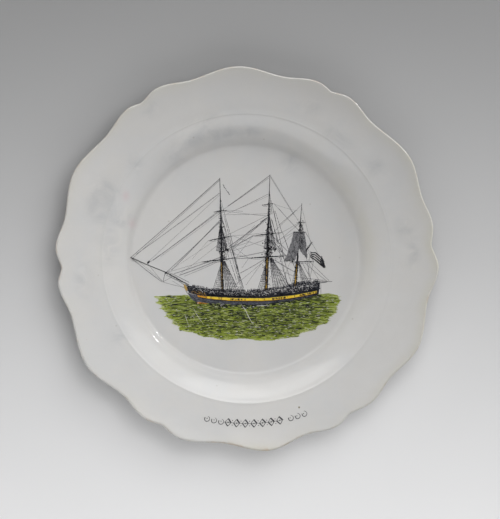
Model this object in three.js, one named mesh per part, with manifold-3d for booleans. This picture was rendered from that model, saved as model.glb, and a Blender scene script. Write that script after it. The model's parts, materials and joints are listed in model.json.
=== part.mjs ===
// Ship plate: a six-lobed, scalloped earthenware dinner plate with a printed and enamelled ship in the well.
//
// Frame: millimetres. The plate lies face up. Z = 0 is the plane of the foot ring, +Z leaves the face,
// +Y is the picture's up and +X the picture's right. The origin is the centre of the foot ring.
//
// Pieces: the fired body with its glaze, and each separate patch of fired-on colour that lies on the glaze:
// the green sea, the hull in its strips of print and yellow enamel, the masts with their yards, the furled sails,
// the flag, the pennant and the border ornament on the rim.
import * as THREE from "three";
import { mergeVertices } from "three/addons/utils/BufferGeometryUtils.js";
import Module from "manifold-3d";

const wasm = await Module();
wasm.setup();

// ---- driving dimensions, mm ---------------------------------------------------------------------------------
const RIM_RADIUS = 125; // to the apex of a lobe
const LOBES = 6;
const LOBE_TURN_DEG = 3.7; // the lobes sit this far anticlockwise of the picture's upright
const SEGMENTS = 168; // round the plate, 28 to a lobe
const WELL_FLAT_RADIUS = 73.4;
const WELL_TOP_Z = 6.0;
const MARLY_RADIUS = 94.0; // where the flat rim (marly) meets the curved wall (cavetto)
const MARLY_Z = 18.9;
const MARLY_SLOPE = 0.2; // rise per mm outwards
const MARLY_ROUND_RADIUS = 112; // inside this the rim is a plain cone, outside it follows the lobes
const LIP_START = 122.6; // nominal radius where the lip's rounding begins
const LIP_THICK = 3.3;
const FOOT_OUTER = 75.0;
const FOOT_INNER = 72.0;
const BASE_Z = 1.8; // underside of the well, above the foot ring's plane

const FILM_GAP = 0.03; // between the glaze and a fired-on film
const FILM_THICK = 0.12;
const PATCH_GAP = 0.3; // between neighbouring films, seen from above

// half a lobe of the rim's outline: angle from the apex in degrees, radius at that angle
const OUTLINE = [
  [0, 125.0],
  [3, 124.6],
  [6, 123.25],
  [9, 121.8],
  [12, 120.75],
  [15, 120.45],
  [18, 121.4],
  [21, 123.05],
  [24, 124.2],
  [27, 123.4],
  [30, 121.2],
];

// ---- the outline of the rim ---------------------------------------------------------------------------------
// Catmull-Rom through the mirrored table, so the curve is smooth across each apex and each notch.
function rimRadius(angle) {
  const lobe = 360 / LOBES;
  let deg = (((angle * 180) / Math.PI - 90 - LOBE_TURN_DEG) % lobe) + lobe;
  deg = ((deg + lobe / 2) % lobe) - lobe / 2;
  const a = Math.abs(deg);
  const step = OUTLINE[1][0] - OUTLINE[0][0];
  const last = OUTLINE.length - 1;
  const i = Math.min(last - 1, Math.floor(a / step));
  const t = a / step - i;
  const at = (k) => OUTLINE[k < 0 ? -k : k > last ? 2 * last - k : k][1];
  const [p0, p1, p2, p3] = [at(i - 1), at(i), at(i + 1), at(i + 2)];
  return (
    0.5 *
    (2 * p1 +
      (p2 - p0) * t +
      (2 * p0 - 5 * p1 + 4 * p2 - p3) * t * t +
      (3 * p1 - p0 - 3 * p2 + p3) * t * t * t)
  );
}

const marlyTop = (r) => MARLY_Z + MARLY_SLOPE * (r - MARLY_RADIUS);

// ---- solids -------------------------------------------------------------------------------------------------
function solidOf(geometry) {
  const plain = new THREE.BufferGeometry().setAttribute(
    "position",
    (geometry.index ? geometry.toNonIndexed() : geometry).getAttribute(
      "position",
    ),
  );
  const merged = mergeVertices(plain, 1e-4);
  const index = merged.index.array,
    kept = [];
  for (let i = 0; i < index.length; i += 3) {
    const [a, b, c] = [index[i], index[i + 1], index[i + 2]];
    if (a !== b && b !== c && c !== a) kept.push(a, b, c);
  }
  return new wasm.Manifold(
    new wasm.Mesh({
      numProp: 3,
      vertProperties: merged.attributes.position.array,
      triVerts: new Uint32Array(kept),
    }),
  );
}

function geometryOf(solid) {
  const mesh = solid.getMesh();
  const geometry = new THREE.BufferGeometry()
    .setAttribute(
      "position",
      new THREE.BufferAttribute(new Float32Array(mesh.vertProperties), 3),
    )
    .setIndex(new THREE.BufferAttribute(new Uint32Array(mesh.triVerts), 1));
  geometry.computeVertexNormals();
  return geometry;
}

// One flat film of fired colour on the well, from the outlines of its joined strokes.
function film(outlines) {
  const solids = outlines.map((points) => {
    const made = new THREE.ExtrudeGeometry(
      new THREE.Shape(points.map(([x, y]) => new THREE.Vector2(x, y))),
      { depth: FILM_THICK, bevelEnabled: false },
    );
    made.translate(0, 0, WELL_TOP_Z + FILM_GAP);
    return solidOf(made);
  });
  return geometryOf(solids.reduce((a, b) => a.add(b)));
}

// The outline of a tapered stroke from a to b.
function stroke(a, b, widthA, widthB = widthA) {
  const d = new THREE.Vector2(b[0] - a[0], b[1] - a[1]).normalize();
  const [nx, ny] = [-d.y, d.x];
  return [
    [a[0] - (nx * widthA) / 2, a[1] - (ny * widthA) / 2],
    [b[0] - (nx * widthB) / 2, b[1] - (ny * widthB) / 2],
    [b[0] + (nx * widthB) / 2, b[1] + (ny * widthB) / 2],
    [a[0] + (nx * widthA) / 2, a[1] + (ny * widthA) / 2],
  ];
}

// Heights along the ship's length, read off a smooth curve through a few stations.
function line(stations) {
  const curve = new THREE.SplineCurve(
    stations.map(([x, y]) => new THREE.Vector2(x, y)),
  );
  const points = curve.getPoints(120);
  return (x) => {
    let i = 1;
    while (i < points.length - 1 && points[i].x < x) i++;
    const [p, q] = [points[i - 1], points[i]];
    const t = Math.min(1, Math.max(0, (x - p.x) / (q.x - p.x)));
    return p.y + (q.y - p.y) * t;
  };
}

function spread(from, to, count) {
  return Array.from(
    { length: count + 1 },
    (_, i) => from + ((to - from) * i) / count,
  );
}

// ---- body ---------------------------------------------------------------------------------------------------
function plateBody() {
  const rim = RIM_RADIUS,
    top = (r) => marlyTop(r);
  const profile = [
    // underside, from the axis out
    [0, BASE_Z],
    [69.4, BASE_Z],
    [71.2, 1.3],
    [FOOT_INNER, 0],
    [FOOT_OUTER, 0],
    [76.0, 1.1],
    [78.6, 3.0],
    [81.2, 5.8],
    [83.6, 8.9],
    [86.2, 11.7],
    [89.4, 13.6],
    [93.0, 14.8],
    [97.5, 15.9],
    [MARLY_ROUND_RADIUS, top(MARLY_ROUND_RADIUS) - 3.7],
    [LIP_START, top(LIP_START) - LIP_THICK - 0.1],
    // lip
    [rim - 0.75, top(rim) - LIP_THICK + 0.55],
    [rim, top(rim) - LIP_THICK / 2],
    [rim - 0.75, top(rim) - 0.45],
    // face, back to the axis
    [LIP_START, top(LIP_START)],
    [MARLY_ROUND_RADIUS, top(MARLY_ROUND_RADIUS)],
    [MARLY_RADIUS, MARLY_Z],
    [91.2, 18.45],
    [88.4, 17.75],
    [85.8, 16.5],
    [83.4, 14.6],
    [81.2, 12.1],
    [79.2, 9.6],
    [77.2, 7.6],
    [75.2, 6.4],
    [WELL_FLAT_RADIUS, WELL_TOP_Z],
    [0, WELL_TOP_Z],
  ].map(([r, z]) => new THREE.Vector2(r, z));
  const body = new THREE.LatheGeometry(profile, SEGMENTS);
  body.rotateX(Math.PI / 2);
  // turned so that one meridian runs along a lobe's apex, then pulled in to the lobes
  body.rotateZ(THREE.MathUtils.degToRad(LOBE_TURN_DEG));
  const position = body.attributes.position;
  for (let i = 0; i < position.count; i++) {
    const x = position.getX(i),
      y = position.getY(i),
      r = Math.hypot(x, y);
    if (r <= MARLY_ROUND_RADIUS) continue;
    const share = Math.min(
      1,
      (r - MARLY_ROUND_RADIUS) / (LIP_START - MARLY_ROUND_RADIUS),
    );
    const shift = (rimRadius(Math.atan2(y, x)) - RIM_RADIUS) * share;
    position.setXYZ(
      i,
      x * (1 + shift / r),
      y * (1 + shift / r),
      position.getZ(i) + MARLY_SLOPE * shift,
    );
  }
  let solid = solidOf(body);
  if (solid.volume() < 0) {
    const flipped = body.toNonIndexed();
    const p = flipped.attributes.position;
    for (let i = 0; i < p.count; i += 3)
      for (const get of ["X", "Y", "Z"]) {
        const [a, b] = [p["get" + get](i + 1), p["get" + get](i + 2)];
        p["set" + get](i + 1, b);
        p["set" + get](i + 2, a);
      }
    solid = solidOf(flipped);
  }
  return geometryOf(solid);
}

// ---- the ship -----------------------------------------------------------------------------------------------
const BOW_X = -40,
  STERN_X = 48.6,
  BAND_FROM = -33,
  BAND_TO = 46.6;
const rail = line([
  [-40.2, -18.3],
  [-28, -20.6],
  [-12, -22.8],
  [8, -22.6],
  [26, -19.4],
  [37, -16.6],
  [49, -15.2],
]);
const bandTop = line([
  [-40, -22.4],
  [-29, -24.7],
  [-12, -26.5],
  [8, -26.7],
  [27, -25.2],
  [49, -21.8],
]);
const keel = line([
  [-36, -26.2],
  [-31, -29.4],
  [-20, -30.9],
  [-7, -31.6],
  [8, -31.2],
  [23, -29.5],
  [38, -26.9],
  [49, -24.6],
]);
const BAND_HIGH = 1.8;

function between(xs, lower, upper) {
  return [
    ...xs.map((x) => [x, lower(x)]),
    ...[...xs].reverse().map((x) => [x, upper(x)]),
  ];
}

const hullUpper = film([
  [
    [-37.4, -23.9],
    ...spread(-33, 47.4, 16).map((x) => [x, bandTop(x) + PATCH_GAP / 2]),
    [STERN_X, -17.2],
    [49.2, -15.0],
    ...spread(37, -36.6, 16).map((x) => [x, rail(x)]),
  ],
]);
const hullBand = film([
  between(
    spread(BAND_FROM, BAND_TO, 16),
    (x) => bandTop(x) - PATCH_GAP / 2 - BAND_HIGH,
    (x) => bandTop(x) - PATCH_GAP / 2,
  ),
]);
const hullLower = film([
  [
    [-35.2, -26.7],
    [-32.4, -28.9],
    ...spread(-24, 46.2, 14).map((x) => [
      x,
      Math.min(keel(x), bandTop(x) - BAND_HIGH - 1.4 * PATCH_GAP - 0.35),
    ]),
    ...spread(46.6, -33.6, 16).map((x) => [
      x,
      bandTop(x) - BAND_HIGH - 1.4 * PATCH_GAP,
    ]),
  ],
]);
const bowPatch = film([
  [
    [-37.8, -23.4],
    [-37.0, -19.4],
    [-40.0, -18.4],
    [-39.6, -22.2],
  ],
]);
const waterlineDash = film([
  [
    [-31.8, -29.9],
    [-31.4, -30.7],
    [-25.2, -31.7],
    [-25.0, -31.0],
  ],
]);

// The sea: a brushed patch with a ragged edge, its top following the hull.
const sea = film([
  [
    [-59.6, -25.4],
    [-57.2, -28.2],
    [-58.4, -29.6],
    [-54.6, -31.6],
    [-55.8, -33.8],
    [-51.6, -36.6],
    [-52.2, -38.6],
    [-46.6, -41.6],
    [-46.4, -44.4],
    [-40.2, -45.8],
    [-38.8, -48.2],
    [-30.6, -49.0],
    [-26.4, -50.8],
    [-18.8, -51.2],
    [-14.2, -52.8],
    [-5.4, -51.8],
    [2.6, -51.6],
    [9.8, -52.9],
    [17.8, -52.9],
    [24.6, -51.4],
    [33.6, -50.4],
    [36.8, -48.2],
    [44.6, -46.2],
    [47.4, -43.4],
    [53.2, -41.4],
    [54.8, -37.6],
    [59.0, -34.6],
    [58.6, -30.8],
    [61.0, -27.8],
    [59.4, -23.4],
    [54.0, -22.9],
    [48.6, -24.2],
    ...spread(46.2, -22, 14).map((x) => [
      x,
      Math.min(keel(x), bandTop(x) - BAND_HIGH - 1.4 * PATCH_GAP - 0.35) -
        PATCH_GAP,
    ]),
    [-25.0, -32.2],
    [-31.9, -31.1],
    [-32.4, -29.4],
    [-35.7, -27.0],
    [-38.4, -24.4],
    [-48.4, -24.8],
  ],
]);

// Masts: the printed upper mast with its yards, and the yellow enamel of the lower mast.
function mast({ head, foot, cap, wide, yards, tops = [] }) {
  const along = (y) => {
    const t = (y - foot[1]) / (head[1] - foot[1]);
    return [foot[0] + (head[0] - foot[0]) * t, y];
  };
  const base = along(cap);
  return {
    print: film([
      stroke(base, head, wide, 0.42),
      ...yards.map(([a, b, w]) => stroke(a, b, w)),
      ...tops.map(([y, w, h]) => {
        const [x] = along(y);
        return [
          [x - w / 2, y - h / 2],
          [x + w / 2, y - h / 2],
          [x + (0.7 * w) / 2, y + h / 2],
          [x - (0.7 * w) / 2, y + h / 2],
        ];
      }),
    ]),
    enamel: (footY) =>
      film([
        stroke(
          along(footY),
          along(cap - PATCH_GAP - yards[0][2] / 2),
          wide * 0.95,
        ),
      ]),
  };
}

const fore = mast({
  head: [-17.2, 50.8],
  foot: [-15.6, -21.4],
  cap: -2.4,
  wide: 1.5,
  yards: [
    [[-29.0, -3.2], [-5.2, -1.6], 0.66],
    [[-24.6, 10.9], [-8.7, 13.5], 0.6],
    [[-21.5, 29.2], [-12.2, 30.0], 0.5],
  ],
  tops: [
    [2.6, 3.4, 1.2],
    [25.6, 1.6, 0.9],
  ],
});
const main = mast({
  head: [15.4, 53.0],
  foot: [13.2, -20.6],
  cap: -0.2,
  wide: 1.6,
  yards: [
    [[1.6, -0.8], [25.2, 0.5], 0.7],
    [[4.8, 14.1], [23.0, 16.0], 0.62],
    [[10.2, 33.7], [18.0, 34.7], 0.5],
  ],
  tops: [
    [4.9, 3.6, 1.2],
    [28.6, 1.7, 0.9],
  ],
});
const mizzen = mast({
  head: [36.0, 34.4],
  foot: [31.6, -17.6],
  cap: -2.6,
  wide: 1.3,
  yards: [
    [[28.2, -2.9], [43.8, -2.6], 0.56],
    [[30.5, 16.1], [39.2, 16.4], 0.52],
    [[32.4, 22.7], [38.4, 23.0], 0.46],
  ],
});
const foreLower = fore.enamel(rail(-15.6) + PATCH_GAP + 0.3);
const mainLower = main.enamel(rail(13.2) + PATCH_GAP + 0.3);
const mizzenLower = mizzen.enamel(rail(31.6) + PATCH_GAP + 0.3);

// the loose sail hanging from the mizzen, in two leeches either side of the mast
const mizzenSailFore = film([
  [
    [31.0, 15.5],
    [33.6, 15.5],
    [32.9, 8.2],
    [31.9, 3.4],
    [31.0, 0.6],
    [27.4, -1.6],
    [25.0, -2.4],
    [27.2, 3.6],
    [29.2, 9.4],
  ],
]);
const mizzenSailAft = film([
  [
    [35.4, 15.6],
    [38.4, 15.6],
    [39.9, 8.4],
    [40.2, 2.2],
    [39.5, -0.8],
    [37.2, 1.2],
    [34.6, 5.4],
    [34.6, 9.0],
  ],
]);

const bowsprit = film([
  stroke([-39.2, -17.4], [-72.2, -2.0], 1.25, 0.45),
  stroke([-53.2, -11.0], [-54.1, -16.6], 0.5, 0.35),
  [
    [-66.0, -5.6],
    [-63.6, -6.4],
    [-63.2, -4.6],
    [-65.0, -3.6],
  ],
]);
const gaff = film([stroke([40.6, 3.2], [43.4, 8.6], 0.5, 0.35)]);
const ensign = film([
  [
    [42.4, 0.6],
    [44.9, 3.6],
    [47.0, 3.0],
    [49.4, 0.8],
    [51.4, -2.8],
    [51.8, -7.2],
    [49.6, -6.4],
    [47.0, -4.6],
    [44.6, -1.8],
  ],
]);
const pennant = film([
  [
    [-15.8, 47.4],
    [-12.6, 44.2],
    [-9.8, 39.6],
    [-12.9, 42.6],
    [-15.7, 44.8],
  ],
]);

// ---- the ornament on the rim: a running line with lozenges, bent to an arc and laid on the cone of the marly ------
const ORNAMENT_RADIUS = 107.0;
const ORNAMENT_FROM = -15.6,
  ORNAMENT_TO = 21.4; // degrees round from the bottom of the rim, towards +X
const ORNAMENT_LINE = 0.2; // half width of the running line
function rimOrnament() {
  const perDeg = (Math.PI / 180) * ORNAMENT_RADIUS;
  const [from, to] = [ORNAMENT_FROM * perDeg, ORNAMENT_TO * perDeg];
  const middle = (from + to) / 2 - 1.2;
  // [centre along the line, length, height] of each lozenge
  const lozenges = [
    ...[-3, -2, -1, 0, 1, 2, 3].map((k) => [middle + k * 5.6, 3.6, 5.2]),
    ...[from + 2.4, from + 7.4, from + 12.4].map((x) => [x, 2.4, 3.4]),
    ...[to - 2.4, to - 7.0, to - 11.6].map((x) => [x, 2.4, 3.4]),
  ];
  const half = (x) =>
    Math.max(
      ORNAMENT_LINE,
      ...lozenges.map(([c, w, h]) => (h / 2) * (1 - Math.abs(x - c) / (w / 2))),
    );
  const corners = [from, to];
  for (const [c, w, h] of lozenges) {
    const reach = (w / 2) * (1 - (2 * ORNAMENT_LINE) / h);
    corners.push(c - reach, c, c + reach);
  }
  corners.sort((a, b) => a - b);
  const xs = corners.flatMap((x, i) => {
    if (i === 0) return [x];
    const before = corners[i - 1];
    return spread(before, x, Math.max(1, Math.ceil((x - before) / 1.8))).slice(1);
  });
  const bent = (x, y) => {
    const r = ORNAMENT_RADIUS - y,
      a = x / ORNAMENT_RADIUS - Math.PI / 2;
    return new THREE.Vector2(r * Math.cos(a), r * Math.sin(a));
  };
  const flat = new THREE.ExtrudeGeometry(
    new THREE.Shape([
      ...xs.map((x) => bent(x, -half(x))),
      ...[...xs].reverse().map((x) => bent(x, half(x))),
    ]),
    { depth: FILM_THICK, bevelEnabled: false },
  );
  const p = flat.attributes.position;
  for (let i = 0; i < p.count; i++)
    p.setZ(i, marlyTop(Math.hypot(p.getX(i), p.getY(i))) + 0.06 + p.getZ(i));
  return geometryOf(solidOf(flat));
}

// ---- materials ----------------------------------------------------------------------------------------------
const glaze = () =>
  new THREE.MeshStandardMaterial({
    color: 0xd6d5cf,
    roughness: 0.18,
    metalness: 0,
  });
const ink = () =>
  new THREE.MeshStandardMaterial({
    color: 0x2b2a2e,
    roughness: 0.35,
    metalness: 0,
  });
const green = () =>
  new THREE.MeshStandardMaterial({
    color: 0x5f7a1e,
    roughness: 0.3,
    metalness: 0,
  });
const yellow = () =>
  new THREE.MeshStandardMaterial({
    color: 0xd69a1c,
    roughness: 0.3,
    metalness: 0,
  });
const orange = () =>
  new THREE.MeshStandardMaterial({
    color: 0xc2801e,
    roughness: 0.3,
    metalness: 0,
  });

// ---- the part -----------------------------------------------------------------------------------------------
const plate = new THREE.Group();
function add(name, geometry, material) {
  const mesh = new THREE.Mesh(geometry, material);
  mesh.name = name;
  plate.add(mesh);
  return mesh;
}

add("plate_body", plateBody(), glaze());
add("sea_enamel", sea, green());
add("hull_upper_print", hullUpper, ink());
add("hull_band_enamel", hullBand, yellow());
add("hull_lower_print", hullLower, ink());
add("bow_enamel", bowPatch, yellow());
add("waterline_enamel", waterlineDash, orange());
add("bowsprit_print", bowsprit, ink());
add("fore_mast_print", fore.print, ink());
add("main_mast_print", main.print, ink());
add("mizzen_mast_print", mizzen.print, ink());
add("fore_lower_mast_enamel", foreLower, orange());
add("main_lower_mast_enamel", mainLower, orange());
add("mizzen_lower_mast_enamel", mizzenLower, orange());
add("mizzen_sail_fore_print", mizzenSailFore, ink());
add("mizzen_sail_aft_print", mizzenSailAft, ink());
add("gaff_print", gaff, ink());
add("ensign_print", ensign, ink());
add("pennant_print", pennant, ink());
add("rim_ornament_print", rimOrnament(), ink());

export default plate;
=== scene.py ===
"""Looks of the ship plate: a scalloped, glazed earthenware dinner plate with a printed and enamelled ship in the well.

Metres in Blender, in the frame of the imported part: +Z out of the face, +Y the picture's up. The drawing code works in
millimetres and is scaled at the end. Every film of colour is a thin closed solid that follows the face of the plate."""

import json
import math
import random

import bpy
import numpy as np
from mathutils import Matrix, Vector
from mathutils.geometry import tessellate_polygon

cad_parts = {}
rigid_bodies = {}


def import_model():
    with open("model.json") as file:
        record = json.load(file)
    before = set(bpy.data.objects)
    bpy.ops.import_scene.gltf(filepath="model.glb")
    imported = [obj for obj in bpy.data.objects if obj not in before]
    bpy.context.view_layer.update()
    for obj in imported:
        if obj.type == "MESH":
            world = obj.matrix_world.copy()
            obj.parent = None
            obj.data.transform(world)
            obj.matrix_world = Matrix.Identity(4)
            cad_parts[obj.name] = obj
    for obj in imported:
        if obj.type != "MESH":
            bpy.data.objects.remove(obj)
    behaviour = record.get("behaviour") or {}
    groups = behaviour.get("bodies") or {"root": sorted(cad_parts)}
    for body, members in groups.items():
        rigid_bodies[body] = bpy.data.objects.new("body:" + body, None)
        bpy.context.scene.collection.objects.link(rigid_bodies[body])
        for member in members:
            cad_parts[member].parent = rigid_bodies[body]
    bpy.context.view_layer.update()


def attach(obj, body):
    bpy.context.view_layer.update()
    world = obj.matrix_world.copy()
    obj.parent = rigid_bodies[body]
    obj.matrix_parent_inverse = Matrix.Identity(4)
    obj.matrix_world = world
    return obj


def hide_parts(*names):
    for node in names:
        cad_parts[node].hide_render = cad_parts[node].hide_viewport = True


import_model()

MM = 0.001
rng = random.Random(7)
nrng = np.random.default_rng(7)

# =================================================================================================================
# the shape of the plate, in mm
# =================================================================================================================
RIM = 125.0
MARLY_R, MARLY_Z, MARLY_SLOPE = 94.8, 19.036, 0.17
UPTURN_R, UPTURN = 108.0, 0.0018
WELL_Z = 6.0
LIP_THICK = 3.0

# the rim's outline, hand-pressed: degrees clockwise from the picture's up, and the radius at each crest and dip
OUTLINE = [
    (11.0, 120.3), (22.0, 123.7), (26.75, 122.2), (32.25, 123.9), (42.5, 120.2), (58.25, 124.6),
    (70.75, 120.7), (79.2, 122.8), (85.75, 120.8), (92.75, 124.5), (103.25, 120.4), (117.5, 125.0),
    (130.5, 120.9), (138.8, 123.3), (146.5, 121.2), (152.2, 123.4), (161.5, 120.4), (173.75, 125.3),
    (187.25, 120.8), (200.5, 124.9), (207.25, 122.2), (212.5, 123.5), (222.0, 120.0), (235.75, 125.3),
    (251.75, 120.1), (261.5, 123.6), (266.5, 121.1), (272.75, 124.1), (281.75, 120.8), (295.75, 125.0),
    (310.5, 120.6), (321.0, 123.7), (325.75, 122.2), (331.5, 124.5), (342.5, 120.9), (356.75, 124.5),
]  # fmt: skip


# pointed dips, pressed between each pair of small lobes
CUSPS = [(26.75, 0.9), (85.75, 0.8), (146.5, 0.8), (207.25, 0.8), (266.5, 0.9), (325.2, 0.9)]


def rim_radius(theta):
    """Radius of the rim at math angle theta (radians, anticlockwise from +X). Smooth swings between crests and dips."""
    cw = (90.0 - np.rad2deg(np.asarray(theta, float))) % 360.0
    a = np.array([p[0] for p in OUTLINE])
    r = np.array([p[1] for p in OUTLINE])
    a3 = np.concatenate([a - 360, a, a + 360])
    r3 = np.concatenate([r, r, r])
    k = np.clip(np.searchsorted(a3, cw, side="right") - 1, 0, len(a3) - 2)
    t = (cw - a3[k]) / (a3[k + 1] - a3[k])
    s = 0.5 - 0.5 * np.cos(np.pi * t)
    s = 0.55 * s + 0.45 * (t * t * (3 - 2 * t))
    out = r3[k] + (r3[k + 1] - r3[k]) * s
    for at, depth in CUSPS:
        d = (cw - at + 180.0) % 360.0 - 180.0
        out = out - depth * np.exp(-np.sqrt(d * d + 0.09) / 1.3)
    return out


def pchip(xs, ys):
    """Monotone cubic through the points, as a function on arrays."""
    xs, ys = np.array(xs, float), np.array(ys, float)
    h = np.diff(xs)
    d = np.diff(ys) / h
    m = np.zeros_like(xs)
    m[0], m[-1] = d[0], d[-1]
    for i in range(1, len(xs) - 1):
        if d[i - 1] * d[i] > 0:
            w1, w2 = 2 * h[i] + h[i - 1], h[i] + 2 * h[i - 1]
            m[i] = (w1 + w2) / (w1 / d[i - 1] + w2 / d[i])

    def f(x):
        x = np.clip(np.asarray(x, float), xs[0], xs[-1])
        k = np.clip(np.searchsorted(xs, x, side="right") - 1, 0, len(xs) - 2)
        t = (x - xs[k]) / h[k]
        return (
            (1 + 2 * t) * (1 - t) ** 2 * ys[k]
            + t * (1 - t) ** 2 * h[k] * m[k]
            + t * t * (3 - 2 * t) * ys[k + 1]
            + t * t * (t - 1) * h[k] * m[k + 1]
        )

    return f


_wall = pchip(
    [0, 60, 72.6, 74.0, 75.0, 76.0, 77.0, 78.0, 79.0, 80.0, 81.0, 82.0, 83.0, 84.0, 85.0, 88.0, 90.5, 93.2, 94.0, 94.8],
    [6.0, 6.0, 6.0, 6.20, 6.82, 8.12, 9.54, 10.72, 11.60, 12.30, 12.98, 13.61, 14.19, 14.72, 15.21, 16.52, 17.52, 18.53, 18.93, 19.036],
)
_under = pchip(
    [75.0, 76.0, 78.6, 81.2, 83.6, 86.2, 89.4, 93.0, 97.5],
    [0.0, 1.0, 3.0, 5.8, 8.9, 11.6, 13.5, 14.75, 15.75],
)


def marly(r):
    r = np.asarray(r, float)
    return MARLY_Z + MARLY_SLOPE * (r - MARLY_R) + UPTURN * np.maximum(0, r - UPTURN_R) ** 2


def face_z(r, theta=0.0):
    """Height of the glazed face at radius r."""
    r = np.asarray(r, float)
    z = np.where(r <= MARLY_R, _wall(np.minimum(r, MARLY_R)), marly(r))
    # slow hand-made unevenness of the rim
    k = np.clip((r - 92) / 30, 0, 1) ** 2
    z = z + k * (
        0.16 * np.sin(2 * theta + 0.7) + 0.10 * np.sin(3 * theta + 2.1) + 0.05 * np.sin(7 * theta)
    )
    return z


def on_face(x, y):
    return face_z(np.hypot(x, y), np.arctan2(y, x))


# =================================================================================================================
# mesh helpers
# =================================================================================================================
def new_object(name, verts_mm, faces, material, smooth=False, replaces=(), body="root"):
    me = bpy.data.meshes.new(name)
    me.from_pydata([tuple(np.array(v) * MM) for v in verts_mm], [], faces)
    me.validate(clean_customdata=False)
    me.update()
    if smooth:
        me.polygons.foreach_set("use_smooth", [True] * len(me.polygons))
    me.materials.append(material)
    ob = bpy.data.objects.new(name, me)
    bpy.context.scene.collection.objects.link(ob)
    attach(ob, body)
    if replaces:
        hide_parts(*replaces)
    return ob


class Film:
    """Collects thin closed solids that lie on the face: ribbons along a line, and flat patches."""

    def __init__(self):
        self.v, self.f, self.tone = [], [], []

    def _height(self, xs, ys, lift):
        return on_face(np.array(xs), np.array(ys)) + lift

    def ribbon(self, pts, w, w_end=None, lift=0.012, thick=0.03, wob=0.0, taper=0.0, tone=0.5):
        """A drawn line: pts in mm, w the width in mm. taper: share of the length over which both ends thin out."""
        pts = np.array(pts, float)
        if len(pts) < 2:
            return
        seg = np.hypot(*np.diff(pts, axis=0).T)
        if seg.sum() < 1e-6:
            return
        keep = np.concatenate([[True], seg > 1e-6])
        pts = pts[keep]
        seg = np.hypot(*np.diff(pts, axis=0).T)
        s = np.concatenate([[0], np.cumsum(seg)])
        n = len(pts)
        if w_end is None:
            w_end = w
        width = w + (w_end - w) * s / s[-1]
        if wob:
            width = width * (1 + wob * nrng.uniform(-1, 1, n))
        if taper:
            e = np.minimum(s, s[-1] - s) / max(1e-6, taper * s[-1])
            width = width * np.clip(0.25 + 0.75 * e, 0.25, 1)
        t = np.gradient(pts, axis=0)
        t /= np.maximum(1e-9, np.hypot(t[:, 0], t[:, 1]))[:, None]
        nx, ny = -t[:, 1], t[:, 0]
        lx, ly = pts[:, 0] + nx * width / 2, pts[:, 1] + ny * width / 2
        rx, ry = pts[:, 0] - nx * width / 2, pts[:, 1] - ny * width / 2
        zl, zr = self._height(lx, ly, lift), self._height(rx, ry, lift)
        b = len(self.v)
        self.tone += [tone] * (4 * n)
        for i in range(n):
            self.v += [
                (lx[i], ly[i], zl[i]),
                (lx[i], ly[i], zl[i] + thick),
                (rx[i], ry[i], zr[i] + thick),
                (rx[i], ry[i], zr[i]),
            ]
        for i in range(n - 1):
            p, q = b + 4 * i, b + 4 * i + 4
            self.f += [
                (p + 1, p + 2, q + 2, q + 1),
                (p + 3, p, q, q + 3),
                (p, p + 1, q + 1, q),
                (p + 2, p + 3, q + 3, q + 2),
            ]
        e = b + 4 * (n - 1)
        self.f += [(b, b + 3, b + 2, b + 1), (e, e + 1, e + 2, e + 3)]

    def line(self, a, b, w, w_end=None, sag=0.0, step=4.0, **k):
        """A straight or slightly sagging line from a to b."""
        a, b = np.array(a, float), np.array(b, float)
        d = np.hypot(*(b - a))
        n = max(2, int(d / step) + 1, 7 if sag else 2)
        t = np.linspace(0, 1, n)[:, None]
        p = a + (b - a) * t
        p[:, 1] -= (sag * 4 * t * (1 - t))[:, 0]
        self.ribbon(p, w, w_end, **k)

    def patch(self, outline, lift=0.004, thick=0.03, tone=0.5):
        """A flat patch inside a closed outline in mm."""
        pts = [tuple(p) for p in outline]
        tris = tessellate_polygon([[Vector((x, y, 0)) for x, y in pts]])
        xs, ys = [p[0] for p in pts], [p[1] for p in pts]
        z = self._height(xs, ys, lift)
        b, n = len(self.v), len(pts)
        self.tone += [tone] * (2 * n)
        self.v += [(x, y, zz) for x, y, zz in zip(xs, ys, z)]
        self.v += [(x, y, zz + thick) for x, y, zz in zip(xs, ys, z)]
        area = sum(pts[i][0] * pts[(i + 1) % n][1] - pts[(i + 1) % n][0] * pts[i][1] for i in range(n))
        for t in tris:
            (ax, ay), (bx, by), (cx, cy) = (pts[i] for i in t)
            up = (bx - ax) * (cy - ay) - (by - ay) * (cx - ax) > 0
            i, j, k = t if up else (t[0], t[2], t[1])
            self.f += [(b + n + i, b + n + j, b + n + k), (b + i, b + k, b + j)]
        for i in range(n):
            j = (i + 1) % n
            q = (b + i, b + j, b + n + j, b + n + i)
            self.f.append(q if area > 0 else q[::-1])

    def blob(self, x, y, r, n=7, squash=1.0, **k):
        a0 = rng.uniform(0, 6.28)
        self.patch(
            [
                (
                    x + r * rng.uniform(0.8, 1.2) * math.cos(a0 + 6.2832 * i / n),
                    y + squash * r * rng.uniform(0.8, 1.2) * math.sin(a0 + 6.2832 * i / n),
                )
                for i in range(n)
            ],
            **k,
        )

    def make(self, name, material, slot, replaces=()):
        ob = new_object(name, self.v, self.f, material, replaces=replaces)
        if len(ob.data.vertices) == len(self.tone):
            a = ob.data.attributes.new("tone", "FLOAT", "POINT")
            a.data.foreach_set("value", np.array(self.tone, np.float32))
        return ob


# =================================================================================================================
# materials
# =================================================================================================================
def material(name):
    m = bpy.data.materials.new(name)
    m.use_nodes = True
    nt = m.node_tree
    nt.nodes.clear()
    out = nt.nodes.new("ShaderNodeOutputMaterial")
    bsdf = nt.nodes.new("ShaderNodeBsdfPrincipled")
    nt.links.new(bsdf.outputs[0], out.inputs[0])
    return m, nt, bsdf


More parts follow.
